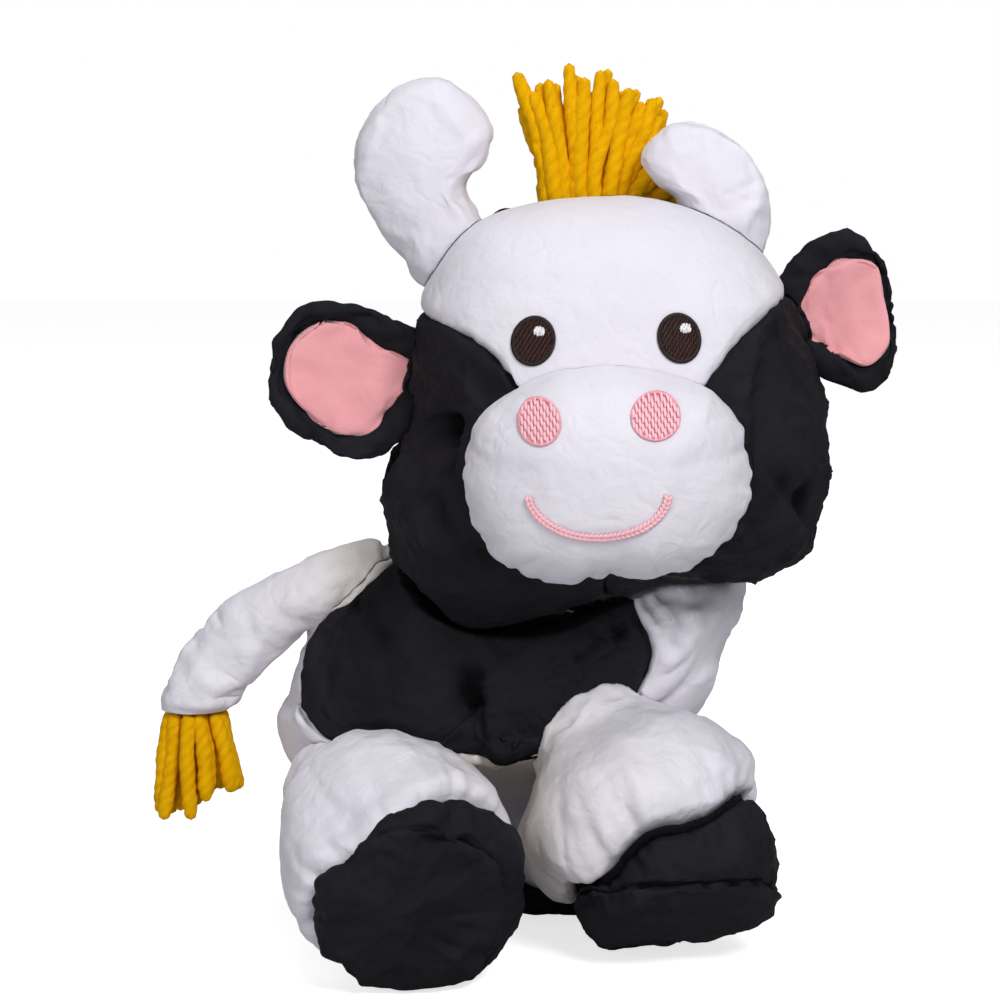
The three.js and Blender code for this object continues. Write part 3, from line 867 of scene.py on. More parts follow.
    def panel(
        self,
        name: str,
        rows: tuple[int, int],
        columns: tuple[int, int] | None = None,
        cut: Cut = Cut.FRONT,
    ) -> bpy.types.Object:
        """A part of the skin as a mesh object with a thickness.

        Args:
            name: the piece's name.
            rows: its first and last row, both included.
            columns: its first and last column, counted on past the grid's end, or None for
                the whole way round.
            cut: how its cloth was laid flat.

        Returns:
            The object.
        """
        total_rows, total = self.points.shape[:2]
        row = np.arange(rows[0], rows[1] + 1)
        whole = columns is None
        column = np.arange(total) if whole else np.arange(columns[0], columns[1] + 1)
        first, last = rows[0] == 0, rows[1] == total_rows - 1
        ids, faces = grid_faces(len(row), len(column), whole, first, last, self.sign)
        index = np.unique(ids, return_index=True)[1]
        pick = np.ix_(row, column % total)
        where = np.append(column, total) if whole else column % total
        chart = self.flat_map(cut)[np.ix_(row, where)]
        corners = grid_corners(len(row), len(column), whole, first, last, self.sign)
        mesh = mesh_of(
            name, in_frame(self.points[pick].reshape(-1, 3)[index]), faces,
            chart.reshape(-1, 2)[corners], self.tint_and_shade[pick].reshape(-1)[index],
        )
        piece = placed(name, mesh)
        if not (whole and first and last):
            wall = piece.modifiers.new("Cloth thickness", "SOLIDIFY")
            wall.thickness = THICKNESS * TO_METRES
            wall.offset = -1.0
        return piece


def refined(coarse: np.ndarray, shape: tuple[int, int]) -> np.ndarray:
    """A coarse grid's values at every point of the fine grid, closed round the columns.

    Each new value is the Catmull-Rom mean of its four neighbours: 9/16 of the sum of the near
    two less 1/16 of the sum of the outer two.

    Args:
        coarse: the values on every second row and column.
        shape: the fine grid's rows and columns.

    Returns:
        The values on the fine grid.
    """
    ends = np.concatenate([coarse[:1], coarse, coarse[-1:]])
    tall = np.empty((shape[0], *coarse.shape[1:]))
    tall[::2] = coarse
    tall[1::2] = (9 * (ends[1:-2] + ends[2:-1]) - ends[:-3] - ends[3:]) / 16
    near = tall + np.roll(tall, -1, 1)
    outer = np.roll(tall, 1, 1) + np.roll(tall, -2, 1)
    fine = np.empty((*shape, 3))
    fine[:, ::2], fine[:, 1::2] = tall, (9 * near - outer) / 16
    return fine


def grid_faces(
    rows: int, columns: int, closed: bool, first: bool, last: bool, sign: float
) -> tuple[np.ndarray, list[list[int]]]:
    """The faces of a grid of points.

    Args:
        rows: rows of points.
        columns: columns of points.
        closed: whether the last column joins the first.
        first: whether the first row is a pole, one point.
        last: whether the last row is a pole, one point.
        sign: 1 or -1, the way that the faces point.

    Returns:
        Each grid point's own index, flat, and the faces by place among the used indices.
    """
    ids = np.arange(rows * columns).reshape(rows, columns)
    if first:
        ids[0] = ids[0, 0]
    if last:
        ids[-1] = ids[-1, 0]
    order = np.unique(ids)
    place = np.searchsorted(order, ids)
    wide = np.concatenate([place, place[:, :1]], axis=1) if closed else place
    quads = np.stack([wide[:-1, :-1], wide[1:, :-1], wide[1:, 1:], wide[:-1, 1:]], axis=-1)
    if sign < 0:
        quads = quads[..., ::-1]
    faces = quads.reshape(-1, 4).tolist()
    if first or last:
        faces = [list(dict.fromkeys(face)) for face in faces]
    return ids.reshape(-1), faces


def grid_corners(
    rows: int, columns: int, closed: bool, first: bool, last: bool, sign: float
) -> np.ndarray:
    """For each corner of a grid's faces, in their order, its place in a chart of the grid.

    Args:
        rows: rows of points.
        columns: columns of points. The chart has one more where the grid is closed.
        closed: whether the last column joins the first.
        first: whether the first row is a pole, one point.
        last: whether the last row is a pole, one point.
        sign: 1 or -1, the way that the faces point.

    Returns:
        The places, flat.
    """
    across = columns + 1 if closed else columns
    at = np.arange(rows * across).reshape(rows, across)
    quads = np.stack([at[:-1, :-1], at[1:, :-1], at[1:, 1:], at[:-1, 1:]], axis=-1)
    keep = np.ones(quads.shape, bool)
    if first:
        keep[0, :, 0 if sign < 0 else 3] = False
    if last:
        keep[-1, :, 1 if sign < 0 else 2] = False
    if sign < 0:
        quads, keep = quads[..., ::-1], keep[..., ::-1]
    return quads.reshape(-1)[keep.reshape(-1)]


def placed(name: str, data: bpy.types.ID) -> bpy.types.Object:
    """Puts a mesh, a lamp or a camera in the scene as an object.

    Args:
        name: the object's name.
        data: what it shows.

    Returns:
        The object.
    """
    thing = bpy.data.objects.new(name, data)
    bpy.context.scene.collection.objects.link(thing)
    return thing


def mesh_of(
    name: str, points: np.ndarray, faces: list, chart: np.ndarray, tint_and_shade: np.ndarray
) -> bpy.types.Mesh:
    """A smooth mesh with a flat map of its cloth and its share of a second tint, which is partly
    painted shade.

    Args:
        name: the mesh's name.
        points: its points in metres, in the frame.
        faces: the point indices of each face.
        chart: the place of each face corner on the flat cloth.
        tint_and_shade: the share of the second tint at each point, 0 to 1, which is partly painted
            shade.

    Returns:
        The mesh.
    """
    mesh = bpy.data.meshes.new(name)
    mesh.from_pydata(points.tolist(), [], faces)
    mesh.polygons.foreach_set("use_smooth", np.ones(len(mesh.polygons), bool))
    layer = mesh.uv_layers.new(name="Cloth")
    layer.uv.foreach_set("vector", chart.astype(np.float32).reshape(-1))
    tint = mesh.attributes.new("TintAndShade", "FLOAT", "POINT")
    tint.data.foreach_set("value", tint_and_shade.astype(np.float32))
    mesh.validate()
    return mesh


# Finishes


class Shader:
    """The nodes of a material or a world, added one at a time."""

    def __init__(self, owner: bpy.types.Material | bpy.types.World) -> None:
        """Takes the owner and clears its nodes."""
        self.owner = owner
        owner.use_nodes = True
        self.tree = owner.node_tree
        self.tree.nodes.clear()

    def add(self, kind: str, inputs: dict, **settings: object) -> bpy.types.Node:
        """Adds a node.

        Args:
            kind: the node's type.
            inputs: a value, or the socket to link from, for each named input.
            settings: the node's own settings.

        Returns:
            The node.
        """
        node = self.tree.nodes.new(kind)
        for key, value in settings.items():
            setattr(node, key, value)
        for key, value in inputs.items():
            if isinstance(value, bpy.types.NodeSocket):
                self.tree.links.new(value, node.inputs[key])
            else:
                node.inputs[key].default_value = value
        return node

    def math(self, operation: str, *values: object) -> bpy.types.NodeSocket:
        """The result of a math node."""
        return self.add("ShaderNodeMath", dict(enumerate(values)), operation=operation).outputs[0]

    def blended(self, share: object, one: object, other: object) -> bpy.types.NodeSocket:
        """A colour between two, by a share."""
        inputs = {"Factor": share, 6: one, 7: other}
        return self.add("ShaderNodeMix", inputs, data_type="RGBA").outputs[2]

    def ranged(
        self, value: object, low: float, high: float, to_low: float = 0.0, to_high: float = 1.0
    ) -> bpy.types.NodeSocket:
        """A value carried from one range to another, held at its ends."""
        inputs = {0: value, 1: low, 2: high, 3: to_low, 4: to_high}
        return self.add("ShaderNodeMapRange", inputs).outputs[0]

    def noise(self, place: object, scale: float, detail: float, **more: float) -> bpy.types.Node:
        """A noise texture."""
        inputs = {"Vector": place, "Scale": scale, "Detail": detail, **more}
        return self.add("ShaderNodeTexNoise", inputs)

    def place(self) -> bpy.types.NodeSocket:
        """The place in the object, in metres."""
        return self.add("ShaderNodeTexCoord", {}).outputs["Object"]

    def chart(self) -> bpy.types.NodeSocket:
        """The place on the flat cloth, in millimetres."""
        return self.add("ShaderNodeUVMap", {}, uv_map="Cloth").outputs[0]

    def tint_and_shade(self) -> bpy.types.NodeSocket:
        """The share of the mesh's second tint, which is partly painted shade."""
        return self.add("ShaderNodeAttribute", {}, attribute_name="TintAndShade").outputs["Fac"]

    def dyed(self, value: object, low: float, high: float, colors: list) -> bpy.types.NodeSocket:
        """The first of two colours, passing into the other as a value goes from low to high."""
        return self.blended(self.ranged(value, low, high), *(linear(*c) for c in colors))

    def surface(self, inputs: dict, height: object = None, depth: float = 0.0002) -> None:
        """Ends the material in a surface.

        Args:
            inputs: the Principled BSDF's inputs.
            height: the relief, from 0 to 1, or None for none.
            depth: the relief's depth in metres.
        """
        body = self.add("ShaderNodeBsdfPrincipled", inputs)
        if height is not None:
            inputs = {"Height": height, "Distance": depth, "Strength": 1.0}
            bump = self.add("ShaderNodeBump", inputs)
            self.tree.links.new(bump.outputs[0], body.inputs["Normal"])
        self.add("ShaderNodeOutputMaterial", {0: body.outputs[0]})


def linear(red: int, green: int, blue: int) -> tuple[float, float, float, float]:
    """A colour of 0 to 255 a channel, as seen on screen, as the linear one of a shader.

    Args:
        red: the red channel.
        green: the green channel.
        blue: the blue channel.

    Returns:
        The four channels, the last one 1.
    """
    share = np.array([red, green, blue]) / 255.0
    value = np.where(share <= 0.04045, share / 12.92, ((share + 0.055) / 1.055) ** 2.4)
    return (*value.tolist(), 1.0)


@dataclass(frozen=True)
class Finish:
    """A finish: its name, a slot name that is not used, its colour and the shade that it varies
    to.
    """

    name: str
    slot: str
    color: Color
    shade: Color

    def material(self) -> bpy.types.Material:
        """The finish as a material."""
        raise NotImplementedError


@dataclass(frozen=True)
class Nylon(Finish):
    """Thin puffy taffeta: a fine weave, crinkles, and small sharp creases."""

    # The colour that the second tint blends to: painted shade for the black, and for the white a
    # beige that is partly yellowing and partly painted shade.
    tint_and_shade_color: Color
    roughness: float = 0.45
    sheen: float = 0.25
    gloss: float = 0.4
    weave: float = 0.55
    crinkles: float = 150.0
    creases: float = 62.0
    bends: float = 45.0
    bent: float = 0.035
    mottle: float = 22.0
    relief: float = 0.0006

    def material(self) -> bpy.types.Material:
        """The cloth as a material.

        Returns:
            The material.
        """
        ink = Shader(bpy.data.materials.new(self.name))
        place = ink.place()
        x, y, _ = ink.add("ShaderNodeSeparateXYZ", {0: ink.chart()}).outputs
        warp, weft = (
            ink.math("SINE", ink.math("MULTIPLY", way, 2 * math.pi / self.weave)) for way in (x, y)
        )
        weave = ink.math("MULTIPLY", warp, weft)
        crinkle = ink.noise(place, self.crinkles, 5.0, Roughness=0.55, Distortion=0.8).outputs[0]
        inputs = {0: ink.noise(place, self.bends, 2.0).outputs[1], 3: self.bent}
        shift = ink.add("ShaderNodeVectorMath", inputs, operation="SCALE").outputs[0]
        moved = ink.add("ShaderNodeVectorMath", {0: place, 1: shift}, operation="ADD").outputs[0]
        inputs = {"Vector": moved, "Scale": self.creases}
        edge = ink.add("ShaderNodeTexVoronoi", inputs, feature="DISTANCE_TO_EDGE").outputs[0]
        crease = ink.ranged(edge, 0.0, 0.22)
        relief = ink.math("MULTIPLY_ADD", weave, 0.05, crinkle)
        relief = ink.math("MULTIPLY_ADD", crease, 0.32, relief)
        mottle = ink.noise(place, self.mottle, 3.0).outputs[0]
        color = ink.dyed(mottle, 0.35, 0.7, [self.color, self.shade])
        # Blends in the second tint: painted shade in the hollows of the black cloth, and on the
        # white a beige that is partly yellowing and partly painted shade.
        color = ink.blended(ink.tint_and_shade(), color, linear(*self.tint_and_shade_color))
        rough = ink.ranged(crinkle, 0.3, 0.7, self.roughness - 0.05, self.roughness + 0.07)
        inputs = {
            "Base Color": color, "Roughness": rough, "Specular IOR Level": self.gloss,
            "Sheen Weight": self.sheen, "Sheen Roughness": 0.45,
        }
        ink.surface(inputs, relief, self.relief)
        return ink.owner


@dataclass(frozen=True)
class Brushed(Finish):
    """A brushed cloth: short pile over a fine knit."""

    pile: float = 1500.0
    knit: float = 60.0
    relief: float = 0.0005

    def material(self) -> bpy.types.Material:
        """The cloth as a material.

        Returns:
            The material.
        """
        ink = Shader(bpy.data.materials.new(self.name))
        place = ink.place()
        pile = ink.noise(place, self.pile, 3.0).outputs[0]
        knit = ink.noise(place, self.knit, 4.0).outputs[0]
        relief = ink.math("MULTIPLY_ADD", pile, 0.35, knit)
        color = ink.dyed(knit, 0.3, 0.75, [self.color, self.shade])
        inputs = {
            "Base Color": color, "Roughness": 0.85, "Sheen Weight": 0.45, "Sheen Roughness": 0.5,
        }
        ink.surface(inputs, relief, self.relief)
        return ink.owner


@dataclass(frozen=True)
class Thread(Finish):
    """Embroidery thread: bright twisted fibre with a satin gloss."""

    gloss: float = 0.5
    fibres: float = 2600.0
    relief: float = 0.0001

    def material(self) -> bpy.types.Material:
        """The thread as a material.

        Returns:
            The material.
        """
        ink = Shader(bpy.data.materials.new(self.name))
        fibre = ink.noise(ink.place(), self.fibres, 2.0).outputs[0]
        # A random tone of the fibres, a darker thread along a satin edge, and painted shade on the
        # ground between the stitches.
        dark = ink.math("ADD", ink.ranged(fibre, 0.3, 0.7, 0.0, 0.4), ink.tint_and_shade())
        color = ink.dyed(dark, 0.0, 1.0, [self.color, self.shade])
        inputs = {"Base Color": color, "Roughness": 0.42, "Specular IOR Level": self.gloss}
        ink.surface(inputs, fibre, self.relief)
        return ink.owner


@dataclass(frozen=True)
class Yarn(Finish):
    """Thick soft yarn: loose plies of matt fibre, painted darker between them as shade."""

    fibres: float = 2.6
    stretch: float = 0.16
    relief: float = 0.0006

    def material(self) -> bpy.types.Material:
        """The yarn as a material.

        Returns:
            The material.
        """
        ink = Shader(bpy.data.materials.new(self.name))
        inputs = {0: ink.chart(), 3: (1.0, self.stretch, 1.0)}
        stretched_chart = ink.add("ShaderNodeMapping", inputs).outputs[0]
        fibre = ink.noise(stretched_chart, self.fibres, 4.0).outputs[0]
        # A random tone of the fibres, and painted shade in the grooves between the plies.
        dark = ink.math("ADD", ink.ranged(fibre, 0.35, 0.7, 0.0, 0.3), ink.tint_and_shade())
        color = ink.dyed(dark, 0.0, 1.0, [self.color, self.shade])
        inputs = {"Base Color": color, "Roughness": 0.9, "Specular IOR Level": 0.1}
        ink.surface(inputs, fibre, self.relief)
        return ink.owner


# The third colour of each nylon is its second tint: for the white a beige, partly yellowing and
# partly painted shade; for the black (3, 3, 5), painted shade in its hollows.
WHITE = Nylon("White nylon", "white_nylon", (230, 227, 236), (224, 221, 231), (230, 220, 211))
BLACK = Nylon(
    "Black nylon", "black_nylon", (27, 27, 31), (35, 35, 40), (3, 3, 5), 0.62, 0.0, gloss=0.07
)
EAR_PINK = Brushed("Pink lining", "ear_pink", (244, 172, 176), (236, 158, 164))
PINK_THREAD = Thread("Pink thread", "thread_pink", (255, 200, 208), (242, 164, 178))
BROWN_THREAD = Thread("Brown thread", "thread_brown", (56, 28, 20), (34, 20, 20), 0.3)
WHITE_THREAD = Thread("White thread", "thread_white", (244, 242, 244), (230, 228, 234))
GOLD_YARN = Yarn("Golden yarn", "yarn", (255, 194, 0), (214, 138, 0))


# Shared work of the sub-assemblies


@dataclass(frozen=True)
class Bend:
    """Where the cloth of a limb would pass from the body that it is sewn to on to its own.

    Before start, a place in the drawing, the cloth would stay with the parent body, and after end
    it would follow the limb; nothing reads these fields.
    """

    parent: str
    start: Place
    end: Place


def dress(
    piece: bpy.types.Object,
    finish: Finish,
    body: str,
    nodes: tuple[str, ...],
    bend: Bend | None = None,
) -> None:
    """Finishes a piece, hides the solids that it stands for, and hangs it on its body unless a
    bend is given.

    Args:
        piece: the piece.
        finish: its finish, whose material is made once.
        body: the body that it rides on.
        nodes: the solids that it stands for.
        bend: if given, the piece's placement is baked into its mesh and it joins no body; what the
            bend holds is not used.
    """
    piece.data.materials.append(bpy.data.materials.get(finish.name) or finish.material())
    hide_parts(*nodes)
    if bend:
        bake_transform(piece)
    else:
        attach(piece, body)


# Places and sizes of a beige tint on the white cloth: the belly between the legs, the tail's root
# and the near fore leg's inner side. The beige is partly yellowing and partly painted shade in
# these occluded places.
BEIGE_TINT_AND_SHADE_SPOTS = (((4, -40, 58), 34.0), ((-48, -6, 132), 26.0), ((22, -60, 44), 30.0))


def beige_tint_and_shade_near(points: np.ndarray) -> np.ndarray:
    """How beige the white is painted: the sum of a bell round each spot, at most 1.

    The beige is partly yellowing of the cloth and partly painted shade.

    Args:
        points: any array of points.

    Returns:
        The share of beige at each point.
    """
    tint_and_shade = np.zeros(points.shape[:-1])
    for place, size in BEIGE_TINT_AND_SHADE_SPOTS:
        off = np.linalg.norm(points - np.array(place), axis=-1) / size
        tint_and_shade += np.exp(-(off**2))
    return np.minimum(tint_and_shade, 1.0)


class Wall:
    """The outside of a finished skin, on which other pieces are set."""

    def __init__(self, skin: Skin, form: Puff, gap: float, step: int = 2) -> None:
        """Keeps the points and the outward directions of a skin.

        Args:
            skin: the finished skin.
            form: the smooth form that it follows.
            gap: how far from it other pieces keep.
            step: every how many rows and columns a point is kept.
        """
        self.points = skin.points[::step, ::step].reshape(-1, 3)
        normals = unit(skin.broad(skin.normals(), BROAD_WALL))
        self.normals = normals[::step, ::step].reshape(-1, 3)
        self.form = form
        self.gap = gap

    def nearest(self, points: np.ndarray, axes: list[int], among: np.ndarray) -> np.ndarray:
        """The skin points that lie nearest, measured along some axes.

        Args:
            points: the points to start from.
            axes: the axes that count, 0 to 2.
            among: which of the skin's points may be picked.

        Returns:
            The index of a skin point for each of the points.
        """
        low, high = points.min(0) - NEAREST_MARGIN, points.max(0) + NEAREST_MARGIN
        boxed = among & np.all((self.points > low) & (self.points < high), axis=1)
        index = np.flatnonzero(boxed)
        near = self.points[index][:, axes]
        size = (near**2).sum(1)
        parts = max(1, len(points) * len(near) // NEAREST_BATCH)
        picks = [
            np.argmin(size - 2.0 * part[:, axes] @ near.T, axis=1)
            for part in np.array_split(points, parts)
        ]
        return index[np.concatenate(picks)]

    def room(self, points: np.ndarray) -> np.ndarray:
        """Less than 1 in the skin and in the gap round it: 1 plus the height over the gap.

        Args:
            points: any array of points.

        Returns:
            The value at each point, and 2 far from the skin.
        """
        result = np.full(points.shape[:-1], 2.0)
        close = self.form.gauge(points) < 1.2
        if close.any():
            where = points[close]
            pick = self.nearest(where, [0, 1, 2], np.ones(len(self.points), bool))
            height = ((where - self.points[pick]) * self.normals[pick]).sum(1)
            result[close] = 1.0 + height - self.gap
        return result

    def facing(self, x: np.ndarray, z: np.ndarray) -> tuple[np.ndarray, np.ndarray]:
        """The places on the side towards the viewer, and the directions out there.

        Args:
            x: the places in X.
            z: the places in Z.

        Returns:
            The points on the skin and the unit directions.
        """
        at = np.stack([x, np.full_like(x, self.form.centre[1] - self.form.near), z], axis=-1)
        flat = at.reshape(-1, 3)
        front = self.normals[:, 1] < -0.05
        pick = self.nearest(flat, [0, 2], front)
        normal = self.normals[pick]
        off = self.points[pick] - flat
        slope = (off[:, 0] * normal[:, 0] + off[:, 2] * normal[:, 2]) / normal[:, 1]
        flat[:, 1] = self.points[pick, 1] + slope
        return flat.reshape(at.shape), normal.reshape(at.shape)


def tube(route: np.ndarray, radius: np.ndarray) -> np.ndarray:
    """A round tube about a route that never runs along Y, as a grid from end to end.

    At each row, a circle of the row's radius lies across the route's direction.

    Args:
        route: the middle of each row.
        radius: the radius of each row and column.

    Returns:
        The grid of points.
    """
    along = unit(np.gradient(route, axis=0))
    first = unit(np.cross(along, SIDEWAYS))
    second = np.cross(along, first)
    turn = circle(radius.shape[1])[None, :, None]
    ring = first[:, None] * np.cos(turn) + second[:, None] * np.sin(turn)
    return route[:, None] + ring * radius[..., None]


# Torso


@dataclass
class Torso:
    """The bean-shaped trunk: a white cover round the rim and a black patch on each side.

    Attributes:
        patch: the patches' seam, as seen from the side.
        shy: how far from the middle plane the seam keeps.
        faded: how far from the seam the black cloth is as rough and as dark as it gets.
        side: how far from the middle plane the folds start and are full.
        far_folds: the height of the folds on the far side, as a share.
    """

    patch: Pairs = (
        (-34, 143), (-46, 133), (-60, 121), (-70, 109), (-75, 97), (-75, 87), (-69, 80),
        (-56, 76), (-14, 75), (2, 71), (28, 79), (44, 88), (53, 100), (56, 113), (50, 127),
        (46, 144), (0, 150),
    )
    shy: float = 22.0
    faded: float = 9.0
    side: Spot = (8.0, 26.0)
    far_folds: float = 0.3
    fabric: Fabric = Fabric(1.3, 0.4, 0.9, ((1.1, 46.0), (0.4, 19.0)), cap=5.0)
    seed: int = 3
    columns: int = 380
    patch_rows: int = 60
    cover_rows: int = 52
    folds: tuple[Crease, ...] = (
        Crease((-6, 110), (-4, 66), 5.0, 0.9, 16.0),
        Crease((-48, 119), (-24, 133), 2.2, 1.0, 8.0),
        Crease((-38, 112), (-14, 124), 1.6, 1.0, 9.0),
        Crease((10, 124), (40, 108), 1.8, 1.4, 12.0),
        Crease((-60, 96), (-30, 92), 1.4, 1.6, 14.0),
        Crease((70, 128), (58, 96), 2.4, 1.4, 10.0),
        Crease((76, 104), (60, 86), 2.6, 1.2, 9.0),
        Crease((92, 108), (70, 98), 3.0, 0.9, 8.0),
    )
    nudges: tuple[Nudge, ...] = (
        Nudge((4, 12, 53), (0, 0, -20), 24),
        Nudge((-84, 10, 84), (1.5, 0, 0), 17),
        Nudge((88, -5, 106), (-5, 0, 0), 10),
        Nudge((-12, -50, 101), (0, 4, 0), 7),
        Nudge((-11, -50, 93), (0, 4, 0), 7),
        Nudge((-10, -50, 86), (0, 4, 0), 6),
        Nudge((86, -5, 118), (3, 0, 0), 7),
    )

    def build(self) -> Skin:
        """Works out the trunk: the form, its gathers and folds, and the hollow for the head.

        Returns:
            The trunk's skin.
        """
        rim = outline(TORSO.points, self.columns)
        least = math.asin((self.shy / TORSO.near) ** (1 / TORSO.fullness))
        edge = np.maximum(TORSO.turn_at(TORSO.share_of(rim, self.patch)), least)
        rows = [self.patch_rows, self.cover_rows, self.patch_rows]
        skin = Skin(TORSO.surface(rim, stretched([QUARTER, edge, -edge, -QUARTER], rows)))
        seams = (self.patch_rows, self.patch_rows + self.cover_rows)
        skin.inflate(skin.held(*seams), self.fabric)
        skin.points = nudged(skin.points, self.nudges)
        black = 1.0 - skin.held(slice(seams[0], seams[1] + 1))
        black *= eased(0.0, self.faded, np.minimum(*(skin.from_row(row) for row in seams)))
        relief = uneven(skin.points, self.seed, self.fabric.lumps) - self.fabric.below
        relief += self.fabric.wrinkle * (1.0 + black) * wrinkles(skin.points, self.seed)
        for seed, row in enumerate(seams, 20):
            relief += skin.gather_row(row, self.fabric.gather, seed) + groove(skin.from_row(row))
        off = skin.points[..., 1] - TORSO.centre[1]
        near, far = eased(*self.side, -off), eased(*self.side, off)
        relief += folded(self.folds, skin.points) * (near + self.far_folds * far)
        skin.push(relief)
        skin.points = clear_of(skin.points, head_room, np.array(TORSO.centre) - skin.points)
        # Painted shade in the hollows of the black patches, and on the white cover a beige tint,
        # partly yellowing and partly painted shade.
        skin.tint_and_shade = np.where(black > 0, skin.hollow_shade(), 0.9 * beige_tint_and_shade_near(skin.points))
        return skin

    def dress(self, skin: Skin) -> None:
        """Makes the cover and the two patches.

        Args:
            skin: the trunk's skin.
        """
        first, second = self.patch_rows, self.patch_rows + self.cover_rows
        last = len(skin.points) - 1
        cover = skin.panel("torso_cover_white", (first, second))
        dress(cover, WHITE, "torso", ("torso_cover", "torso_filling"))
        near = skin.panel("side_patch_near_black", (0, first))
        dress(near, BLACK, "torso", ("side_patch_near",))
        far = skin.panel("side_patch_far_black", (second, last), cut=Cut.BACK)
        dress(far, BLACK, "torso", ("side_patch_far",))


# Head


